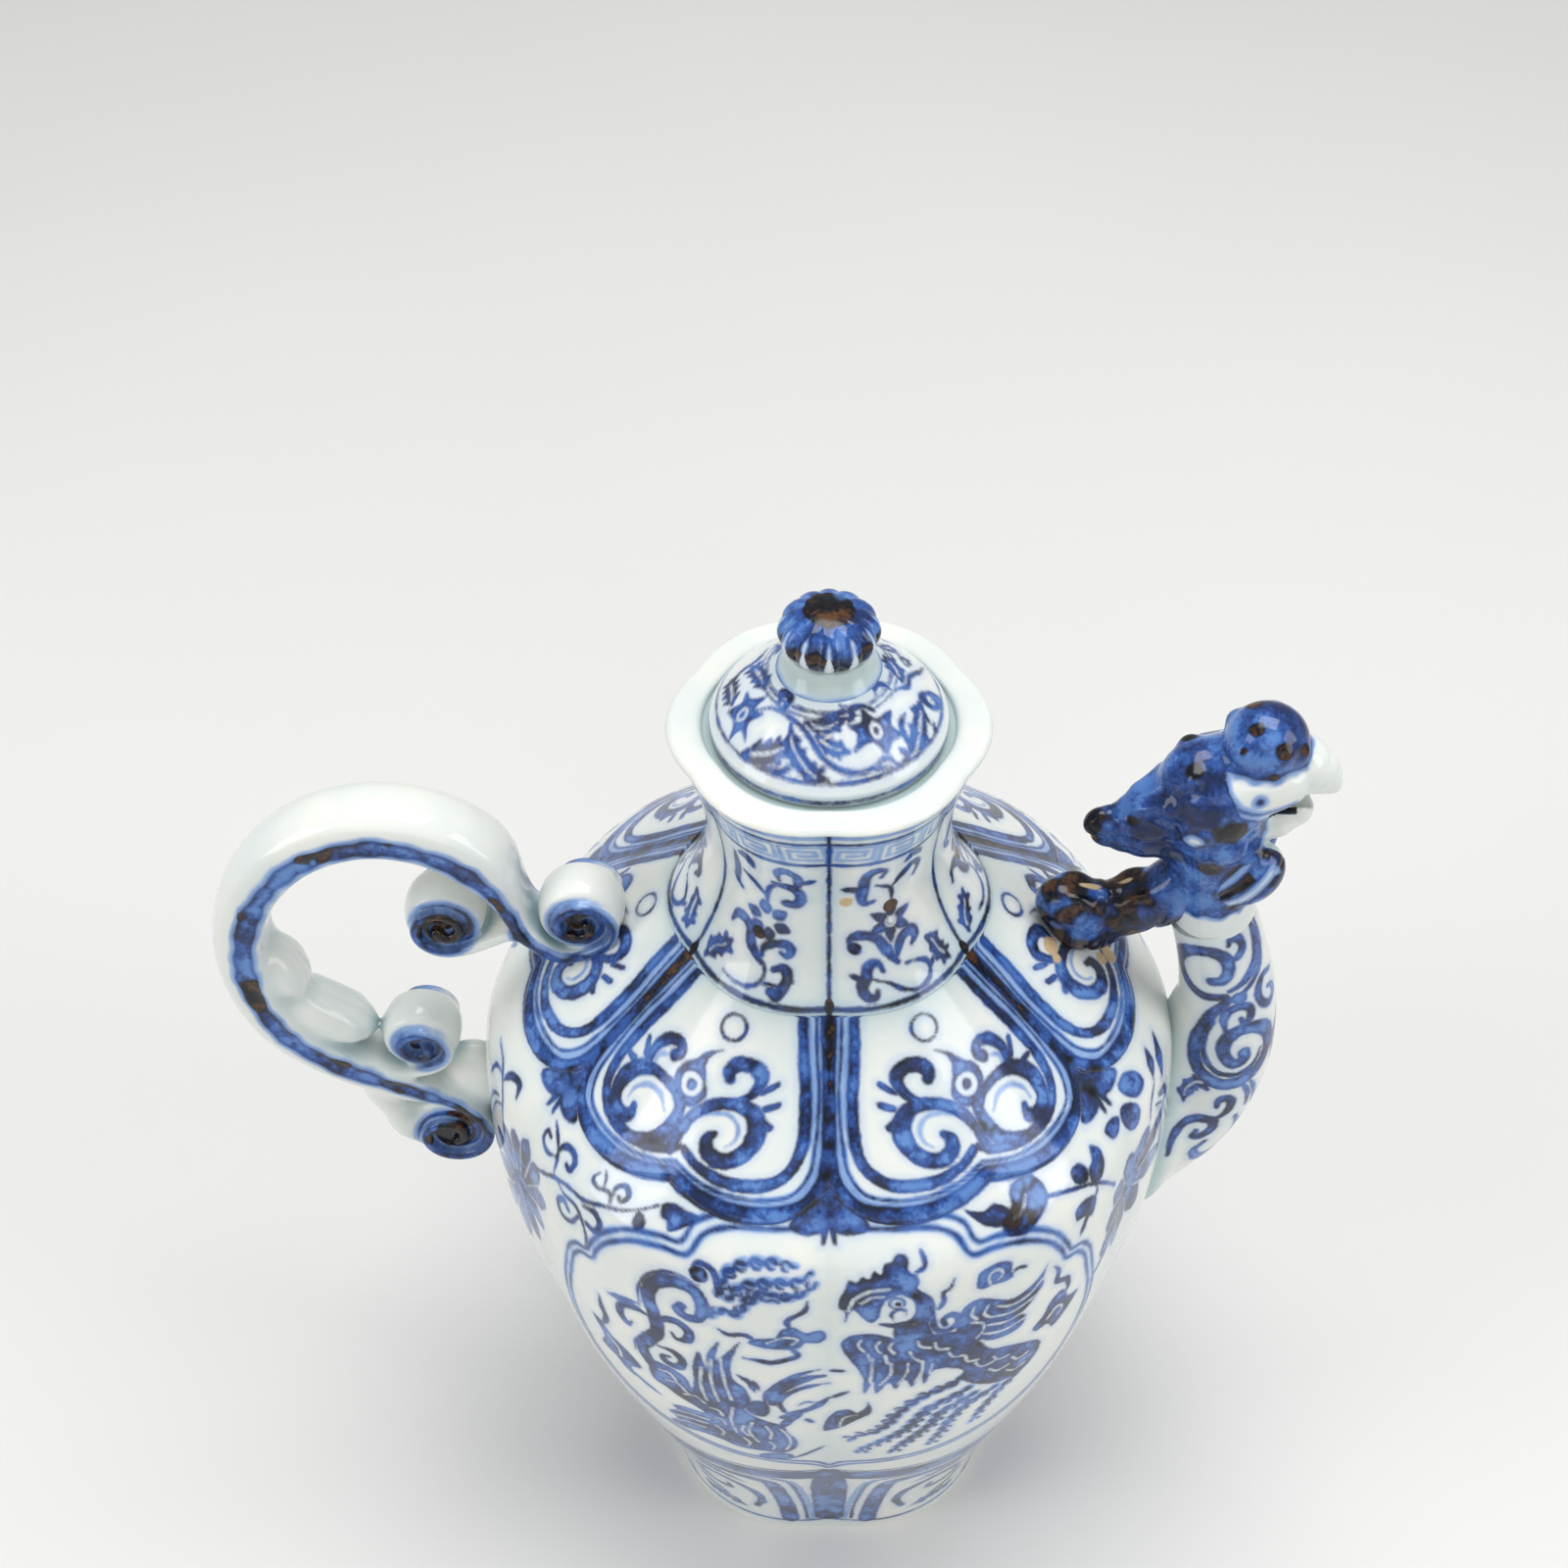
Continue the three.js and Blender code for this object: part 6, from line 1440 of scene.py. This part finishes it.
def head_form(p):
    """Stacked level ovals for throat and skull, then each hand-rolled form melted on, grooves pressed in and
    the wine way cut through the beak."""
    x, y, z = p[0] - HX, p[1], p[2] - HZ
    p, ay = [x, y, z], [x, np.abs(y), z]
    up = np.clip(z, SKULL_FOOT, SKULL_TOP)
    shift, long, wide = (np.interp(up, skull_rows[:, 0], skull_rows[:, k]) for k in (1, 2, 3))
    d = (np.sqrt(((x - shift) / long) ** 2 + (y / wide) ** 2) - 1) * np.minimum(long, wide) * 0.92
    d = np.maximum(d, np.maximum(z - SKULL_TOP, SKULL_FOOT - z))
    # crest ball, the lobe behind it, cheeks, and small raised curls on top and at the back
    d = melt(d, egg(ay, (5, 0, 48.3), (8.1, 7.8, 7.7)), 1.6)
    d = melt(d, egg(ay, (-6.4, 0, 38.2), (8.2, 7, 8.3)), 2.0)
    d = melt(d, egg(ay, (-3.4, 6.7, 36), (7.6, 4.2, 7.2)), 1.8)
    for at, size in (((-0.2, 4.4, 49.4), 2.2), ((6.8, 5.6, 50.4), 2.2), ((10.6, 3.4, 48.4), 2.0),
                     ((-8.4, 4.4, 42.4), 2.5)):
        d = melt(d, egg(ay, at, (size, size, size)), 1.4)
    # feather swept back, with two ridges, and a shorter one over it
    d = melt(d,
             horn(p, [(-8, 0, 27.4), (-15.5, 0, 26.0), (-19.1, 0, 25.0), (-22.6, 0, 25.0), (-24.4, 0, 25.6)],
                     [9.4, 8.0, 6.2, 4.9, 3.9], 0.74), 2.2)
    d = melt(d, horn(ay, [(-6, 4, 35), (-12, 3.6, 34.4), (-17, 2.2, 32.4)], [4.8, 3.6, 2.2]), 2.0)
    comb = smooth((-x - 10) / 4) * smooth((z - 20) / 3)
    d = d + 0.55 * comb * np.exp(-(((z - 25.6 - 0.24 * (x + 18)) / 0.8) ** 2))
    # upper beak: out from the brow, hooked at the tip, flat below
    upper = horn(p, [(6, 0, 41.4), (9, 0, 42), (12, 0, 42), (14.5, 0, 41), (16.6, 0, 39.4), (18.4, 0, 37.3)],
                 [8.0, 7.3, 6.4, 5.3, 4.1, 2.7], 0.94)
    d = melt(d, -melt(-upper, z - 36.4 + 0.1 * (x - 8), 1.2), 1.2)
    d = melt(d, horn(p, [(3, 0, 27.6), (9, 0, 28.6), (12.8, 0, 30.6)], [5.2, 4.6, 3.6], 1.12), 1.4)
    # eye under a hood, the cheek's curl behind it
    d = melt(d, egg(ay, (4.6, 6.3, 40.8), (7.4, 2.8, 4.6)), 2.6)
    brow = np.interp(x, hood_line[:, 0], hood_line[:, 1])
    d = d + 0.5 * np.exp(-(((z - brow + 0.5) / 0.5) ** 2)) * smooth((ay[1] - 3) / 2) * smooth((x + 4) / 2)
    d = melt(d, egg(ay, (-6.4, 8.2, 32.2), (4.2, 2.6, 4.0)), 1.6)
    curl = np.hypot(x + 6.6, z - 32.0)
    d = d + 0.35 * np.exp(-(((curl - 2.4) / 0.6) ** 2)) * (ay[1] > 7.5)
    d = melt(d, egg(ay, (-1.4, 9.0, 27.4), (4.2, 2.2, 3.4), 20), 1.0)
    # wattle under the beak, grooved along its length
    d = melt(d, egg(ay, (JOWL_X, 5.0, JOWL_Z), (8.2, 5.6, 6.6), JOWL_TILT), 1.4)
    along, across = jowl_axes(x, z)
    grooves = np.exp(-(((across - 2.6) / 0.5) ** 2)) + np.exp(-(((across + 1.8) / 0.5) ** 2))
    d = d + 0.32 * grooves * (ay[1] > 4.5) * smooth((9 - np.abs(along)) / 3)
    # combed lines down the nape
    nape = smooth((-x - 6) / 3) * smooth((z - 8) / 3) * smooth((22 - z) / 4)
    d = d + 0.28 * nape * smooth(np.sin((z + 0.4 * x) * 1.7) * 2 - 0.6)
    # the open beak and the wine way
    slot = np.maximum(np.abs(z - 34.9 + 0.1 * (x - 8)) - 1.35, 6.6 - x)
    d = np.maximum(d, -slot)
    return np.maximum(d,
                      -horn(p, [(3, 0, 27), (7, 0, 30.5), (12, 0, 33.0), (18, 0, 34.0)],
                            [2.8, 2.8, 2.6, 2.2]))


def head_paint(points):
    """Which parts of the head are white, dark or burnt, as soft distances from each part's middle."""
    x, y, z = points[:, 0] - HX, np.abs(points[:, 1]), points[:, 2] - HZ
    n = np.sin(x * 1.3 + 2) * np.sin(y * 1.7 + 1) * np.sin(z * 1.1)
    brow = np.interp(x, hood_line[:, 0], hood_line[:, 1])
    under = np.interp(x, cheek_line[:, 0], cheek_line[:, 1])
    only = lambda test, d: np.where(test, d, FAR)
    white = np.maximum(np.maximum(under - z, z - brow), -3.4 - x) + 0.4 * n
    white = np.minimum(white, np.maximum(np.maximum(6 - x, 22.5 - z), z - brow) + 0.4 * n)
    white = np.minimum(white, only(y > 6, np.hypot(x + 8.2, z - 31.1) - 1.9))
    along, across = jowl_axes(x, z)
    oval = (np.hypot(along / 7.6, across / 6.2) - 1) * 6.4
    jowl = (y > 4) & (oval < -0.6)
    white = np.minimum(white, only(jowl, np.minimum(np.abs(across + 0.2) - 1.1, np.abs(across - 4.6) - 0.6)))
    white = np.minimum(white, z - 7.2 - 0.3 * np.maximum(x, 0) + 0.9 * n)
    lid = np.min([np.hypot(x - a, z - b) for a, b in lid_line], axis=0)
    rim = only(y > 5, np.abs(oval) - 0.55)
    eye = only(y > 4.5, np.minimum(lid - 0.34, np.hypot(x - 3.4, z - 41.1) - 0.85))
    ink = np.minimum(np.minimum(-white, rim), eye)
    ink = np.minimum(ink, only((x > 5.4) & (x < 12.5) & (np.abs(z - 34) < 2.2) & (y < 6), -0.8 + 0 * x))
    dark = np.zeros(len(x))
    for at, reach in (((-1.6, 9.5, 34), 5.0), ((5.7, 8.5, 46.4), 1.5), ((0.5, 9, 46.8), 1.8),
                      ((-9, 4.6, 44.8), 2.6),
                      ((-1, 6.6, 51.6), 1.8), ((6.8, 7.2, 52.4), 2.4), ((11.6, 4.6, 50.4), 1.8),
                      ((-28.4, 0, 27), 7.2),
                      ((-19, 3, 30.4), 2.4), ((-4, 8.4, 22), 2.8), ((1.6, 3.6, 55.2), 2.4),
                      ((9, 0, 33.6), 9.0)):
        off = np.sqrt((x - at[0]) ** 2 + (y - at[1]) ** 2 + (z - at[2]) ** 2)
        dark = np.maximum(dark, smooth(1.3 - off / reach))
    dark = np.maximum(dark, 0.6 * smooth(0.6 - rim))
    dark = np.maximum(dark, jowl * (along < 3) * np.clip(1.7 - np.abs(across - 2.5), 0, 1))
    return {"ink": np.clip(ink, -FAR, FAR), "wash": np.clip(ink - 0.8, -FAR, FAR),
            "iron": dark * (ink < 0.5)}


head = modelled("phoenix_head_modelled", head_form, head_paint, (HX - 30, -14, HZ - 0.4),
                (HX + 22.4, 14, HZ + 57),
                0.42, dark_glaze, "ewer", "cobalt_glaze", "phoenix_head")

# %% [markdown]
# ## The cloud strut
# A curl of clay shaped like a cloud stays the slender spout against the shoulder. Glaze ran over it and
# burnt dark brown, with tan grit where it stuck to the kiln's shelf.

# %% The strut
def strut_form(p):
    """Lumps of cloud along a bar from the shoulder to the throat, cut off at the body's skin."""
    line = [(47.8, 0, 178.6), (54, 0, 177), (61, 0, 177.4), (67, 0, 180.2), (HX - 5, 0, 186)]
    d = horn(p, line, [5.8, 6.2, 6.2, 6.5, 7.2], 0.92)
    ay = [p[0], np.abs(p[1]), p[2]]
    d = melt(d, egg(p, (53, 0, 172.5), (8, 5, 7)), 3.0)
    d = melt(d, egg(ay, (49.8, 2.8, 179.6), (4.4, 2.8, 4.6), 10), 1.0)
    d = melt(d, egg(ay, (62.5, 3.2, 181), (4.6, 2.5, 3.8), 24), 1.0)
    curl = np.hypot(ay[0] - 49.8, ay[2] - 179.6)
    d = d + 0.6 * np.exp(-(((curl - 2.3) / 0.6) ** 2)) * (ay[1] > 3.5)
    for seam in (56.2, 67.4):
        d = d + 0.4 * np.exp(-(((p[0] - seam - 0.25 * (p[2] - 180)) / 0.8) ** 2))
    return np.maximum(d, -(np.hypot(p[0], p[1]) - body_radius(p[2]) + 0.6))


def strut_paint(points):
    """Cobalt all over, burnt brown but for two blue places, with two streaks of grit on top."""
    x, y, z = points.T
    n = np.sin(x * 0.9) * np.sin(z * 1.1 + 1) + 0.5 * np.sin(y * 1.5)
    blue = smooth(1.4 - np.hypot(x - 53, z - 177) / 4) + smooth((x - 62) / 5)
    streak = np.minimum(np.hypot((x - 52.6) / 3.2, y) - 0.6, np.hypot((x - 60) / 2.2, y - 1) - 0.7) * 2
    return {"ink": np.full(len(x), -1.0), "wash": np.full(len(x), -1.0),
            "iron": 0.78 + 0.2 * n - 0.5 * np.clip(blue, 0, 1), "grit": np.where(z > 182.4, streak, FAR)}


strut = modelled("cloud_strut_melted", strut_form, strut_paint, (38, -8, 160), (80, 8, 196), 0.45,
                 dark_glaze, "ewer", "iron_cobalt_glaze", "cloud_strut")

# %% [markdown]
# ## The handle
# A strap of clay, crowned outside and flat under the fingers, rolled up at both ends like a fern, with a
# small roll set in each end of the loop and a few leaves pressed on. The strap is a path with a section. The
# same distance field as the head's lets the rolls and leaves melt into it, as they do under the glaze.

# %% The handle's paths
LOOP, LOOP_HALF_WIDE, LOOP_HALF_HIGH = np.array([-91.0, 166.0]), 29, 36
STRAP_HALF, ROLL_HALF = 7.5, 5.1
UPPER_RADIUS, LOWER_RADIUS = 7.7, 9
UPPER_SCROLL = np.array([-50.5, 177.87])
LOWER_SCROLL = np.array([-(body_radius(108.0) + 10.2), 108.0])


def on_loop(degrees):
    """A point of the loop: an upright oval, its top leaning 8 degrees towards the neck."""
    a, lean = math.radians(degrees), math.radians(-8)
    x, z = LOOP_HALF_WIDE * math.cos(a), LOOP_HALF_HIGH * math.sin(a)
    return LOOP + [x * math.cos(lean) - z * math.sin(lean), x * math.sin(lean) + z * math.cos(lean)]


def coil(centre, radius, start, sense, turns=1.25):
    """A spiral from its outer end inwards, whose radius falls evenly to 0.22 of the first."""
    t = np.linspace(0, turns, 13)
    a = np.radians(start + sense * 360 * t)
    r = radius * mix(1, 0.22, t / turns)
    return np.column_stack([centre[0] + r * np.cos(a), centre[1] + r * np.sin(a)])


strap_path = even(spline(np.vstack([
    coil(UPPER_SCROLL, UPPER_RADIUS, -70, 1)[::-1], [UPPER_SCROLL + (-4.5, -9.3)],
    [UPPER_SCROLL + (-10.9, -4)],
    [on_loop(a) for a in np.linspace(22, 250, 10)], [(on_loop(250) + LOWER_SCROLL) / 2 + (1.5, 6)],
    [LOWER_SCROLL + (2.8, 11.6)], coil(LOWER_SCROLL, LOWER_RADIUS, 40, -1)]), 0.8), 0.9)
upper_roll, lower_roll = on_loop(45) + (-11.2, -11.5), on_loop(285) + (0.6, 8)
roll_paths = [even(spline(np.vstack([[stem], coil(middle, 7, start, sense)]), 0.8), 0.9) for middle, start,
              sense, stem in
              ((upper_roll, -65, -1, on_loop(24) + (-2.5, -1.5)),
               (lower_roll, -75, 1, lower_roll + (-7, -9)))]


def nearest(path, x, z):
    """How far along a path the nearest point lies, and how far off it is: + on the left, the finger side."""
    best = np.full(np.broadcast(x, z).shape, 1e9)
    side, run = np.zeros(best.shape), np.zeros(best.shape)
    for k, (a, b) in enumerate(zip(path, path[1:])):
        wx, wz = b - a
        qx, qz = x - a[0], z - a[1]
        t = np.clip((qx * wx + qz * wz) / (wx * wx + wz * wz), 0, 1)
        off = np.hypot(qx - t * wx, qz - t * wz)
        closer = off < best
        best = np.where(closer, off, best)
        side = np.where(closer, np.sign(wx * qz - wz * qx), side)
        run = np.where(closer, k + t, run)
    return run, best * np.where(side == 0, 1, side)


def strap_share(path):
    """1 where the strap is full and crowned, 0 where it is rolled thin."""
    upper = np.linalg.norm(path - UPPER_SCROLL, axis=1) / UPPER_RADIUS
    lower = np.linalg.norm(path - LOWER_SCROLL, axis=1) / LOWER_RADIUS
    return np.minimum(smooth((upper - 1) / 2.6), smooth((lower - 1) / 1.3))


share_along = strap_share(strap_path)
print("strap length:", round(0.9 * len(strap_path)), "mm")

# %% The handle's form
def strap_distance(off, share, y):
    """Distance to the strap: the finger side, the crown and the two faces, rounded where they meet."""
    full = np.sqrt(1 - np.clip(np.abs(y) / STRAP_HALF, 0, 1) ** 2)
    inner, crown = mix(1.2, 3.3, share), mix(1.2, 2.8, share) + share * 4.6 * full
    d = -melt(-(off - inner), off + crown, 1.6)
    d = -melt(-d, STRAP_HALF - np.abs(y), 1.5)
    return d + 0.3 * share * np.exp(-(((off - 0.3) / 1.3) ** 2)) * smooth(np.abs(y) - 6)


def roll_distance(p, centre, radius):
    """The barrel behind a rolled strip, crowned along its length and sunk at both faces."""
    full = np.sqrt(1 - np.clip(np.abs(p[1]) / ROLL_HALF, 0, 1) ** 2)
    d = np.hypot(p[0] - centre[0], p[2] - centre[1]) - radius - 1.8 * full
    return -melt(-d, ROLL_HALF - np.abs(p[1]), 0.8)


def leaf_distance(p, centre, tilt):
    """A fleshy leaf with a pressed vein and two side nerves."""
    d = egg(p, (centre[0], 0, centre[1]), (7.8, 6.5, 4.6), tilt)
    c, s = math.cos(math.radians(tilt)), math.sin(math.radians(tilt))
    along = c * (p[0] - centre[0]) + s * (p[2] - centre[1])
    d = d + 0.25 * np.exp(-((p[1] / 0.8) ** 2))
    return d + 0.15 * np.exp(-(((np.abs(p[1]) - 3 - 0.25 * along) / 0.7) ** 2))


def handle_form(p):
    """The strap and its two scrolls, the two inner rolls, the leaves and the web that meets the body."""
    run, off = nearest(strap_path, p[0][:, 0], p[2][0, 0][None, :])
    share = np.interp(run, np.arange(len(share_along)), share_along)
    d = strap_distance(off[:, None, :], share[:, None, :], p[1])
    d = melt(d, roll_distance(p, UPPER_SCROLL, 7.1), 0.5)
    d = melt(d, roll_distance(p, LOWER_SCROLL, 8.4), 0.5)
    for path, middle in zip(roll_paths, (upper_roll, lower_roll)):
        off = nearest(path, p[0][:, 0], p[2][0, 0][None, :])[1]
        strip = strap_distance(off[:, None, :], 0.0, p[1] * 1.02)
        d = melt(d, melt(strip, roll_distance(p, middle, 6.6), 0.5), 1.8)
    inward = lambda degrees, share: on_loop(degrees) + share * (LOOP - on_loop(degrees))
    for centre, tilt in ((inward(200, 0.18), -66), (inward(226, 0.18), -42), (inward(243, 0.23), -34),
                         (LOWER_SCROLL + (-13, 10.5), -52), (LOWER_SCROLL + (-10.5, 2.5), -76)):
        d = melt(d, leaf_distance(p, centre, tilt), 3.2)
    wall_z = LOOP[1] - 0.95 * LOOP_HALF_HIGH
    web = LOWER_SCROLL + 0.62 * (np.array([-body_radius(wall_z), wall_z]) - LOWER_SCROLL)
    d = melt(d, egg(p, (web[0], 0, web[1]), (8, 5, 10)), 2.5)
    return np.maximum(d, -(np.hypot(p[0], p[1]) - body_radius(p[2]) + 0.6))


def handle_paint(points):
    """A blue band down each face and a painted coil on each roll; crown and finger side stay white."""
    x, y, z = points[:, 0], np.abs(points[:, 1]), points[:, 2]
    run, off = nearest(strap_path, x, z)
    share = np.interp(run, np.arange(len(share_along)), share_along)
    wave = 0.3 * np.sin(run * 0.31) + 0.25 * np.sin(run * 0.83 + 1) + 0.2 * np.sin(run * 0.13)
    face = np.where(y > 6.1, 0, 3)
    ink = np.maximum(np.abs(off + 0.1) - mix(0.8, 1.9, share) - wave * 0.7, face - 1.5)
    iron = np.zeros(len(x))
    for path, middle, disc, burnt in (
            (strap_path, UPPER_SCROLL, 6.4, 4.2), (strap_path, LOWER_SCROLL, 7.6, 6.5),
            (roll_paths[0], upper_roll, 6.4, 6.4), (roll_paths[1], lower_roll, 5.8, 1.2)):
        reach = np.hypot(x - middle[0], z - middle[1])
        edge = np.abs(np.abs(nearest(path, x, z)[1]) - 1.35)
        coil_ink = np.maximum(np.maximum(reach - disc, 0.22 - edge), 3.8 - y)
        ink = np.where(reach < disc + 2, np.minimum(ink, coil_ink), ink)
        iron = np.maximum(iron, smooth((burnt - reach) / 2) * (y > 3.6))
    for px, pz, reach in ((-101.7, 202, 6), (-70, 184, 6), (-92, 130, 7), (-118, 158, 8), (-104.6, 138, 6),
                          (LOWER_SCROLL[0] + 4, LOWER_SCROLL[1] + 9, 7), (-121, 182, 4.5), (-86.0, 205, 3)):
        iron = np.maximum(iron, 1.15 * smooth(1.25 - np.hypot(x - px, z - pz) / reach))
    return {"ink": ink, "wash": ink - 0.8, "iron": iron * smooth(0.7 - ink)}


handle = modelled("handle_modelled", handle_form, handle_paint, (-130, -8.6, 94), (-38, 8.6, 210.2), 0.48,
                  body_glaze, "ewer", "white_glaze", "handle_strap", "handle_roll_upper",
                  "handle_roll_lower")

# %% [markdown]
# ## Floor, light and camera
# A pale floor that curves up behind, a big soft lamp overhead, one at each side and a weak one in front show
# a glaze as it is. The camera looks down at 45 degrees with a long lens, as the photograph was taken. Here
# all measures are in metres.

# %% The floor
def pale_floor():
    """A plane that rises behind in a quarter circle, so that no horizon shows."""
    bend, a = 0.8, np.linspace(0, np.pi / 2, 24)
    y = np.concatenate([[-2.2], 1.6 + bend * np.sin(a), [2.4]])
    z = np.concatenate([[0.0], bend - bend * np.cos(a), [3.0]])
    x = np.linspace(-3, 3, 7)
    grid = np.stack(np.broadcast_arrays(x[None, :], y[:, None], z[:, None]), axis=2)
    rows, cols = grid.shape[:2]
    i, j = np.meshgrid(np.arange(rows - 1), np.arange(cols - 1), indexing="ij")
    at = lambda r, c: (r * cols + c).ravel()
    quads = np.stack([at(i, j), at(i, j + 1), at(i + 1, j + 1), at(i + 1, j)], axis=1)
    piece = put_mesh("studio_floor", grid.reshape(-1, 3) / MM, [quads])
    made, tree, shader, where = new_material("studio_paper")
    tree.links.new(blend(tree, noise(tree, where, 400, 2), rgb(222, 222, 220), rgb(230, 230, 228)),
                   shader.inputs["Base Color"])
    shader.inputs["Roughness"].default_value = 0.9
    piece.data.materials.append(made)
    piece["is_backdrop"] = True
    return piece


pale_floor()

# %% The lights
def softbox(name, place, aim_height, width, height, watts):
    """A soft lamp that shines on the ewer's axis at a height."""
    lamp = bpy.data.lights.new(name, "AREA")
    lamp.shape, lamp.size, lamp.size_y, lamp.energy = "RECTANGLE", width, height, watts
    piece = bpy.data.objects.new(name, lamp)
    bpy.context.scene.collection.objects.link(piece)
    piece.location = place
    piece.rotation_euler = (Vector((0, 0, aim_height)) - Vector(place)).to_track_quat("-Z", "Y").to_euler()


softbox("overhead_softbox", (0.05, 0.15, 1.35), 0.1, 0.9, 0.7, 11)
softbox("left_softbox", (-1.25, -0.55, 0.75), 0.12, 0.6, 1.0, 6.5)
softbox("right_softbox", (1.25, -0.45, 0.85), 0.12, 0.6, 1.0, 6.5)
softbox("front_softbox", (0.1, -1.6, 0.9), 0.12, 1.6, 0.9, 3.5)
world = bpy.data.worlds.new("studio_air")
bpy.context.scene.world = world
world.use_nodes = True
world.node_tree.nodes["Background"].inputs["Color"].default_value = (1, 1, 1, 1)
world.node_tree.nodes["Background"].inputs["Strength"].default_value = 0.40

# %% The camera
camera = bpy.data.cameras.new("camera")
camera.sensor_width, camera.lens, camera.shift_x = 36, 54, -0.02875
viewpoint = bpy.data.objects.new("camera", camera)
bpy.context.scene.collection.objects.link(viewpoint)
DOWN = 44.9  # degrees: with the place and the lens, worked out from the outlines in the photograph
viewpoint.location = (0, -0.323, 0.5345)
viewpoint.rotation_euler = (math.radians(90 - DOWN), 0, 0)
camera.clip_start = 0.05
bpy.context.scene.camera = viewpoint
bpy.context.scene.view_settings.view_transform = "Standard"

# %% The size of the CAD model and of the visual pieces
({"cad": [list(map(float, corner)) for corner in cad_box],
           "visual": [list(map(float, corner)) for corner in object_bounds()]})
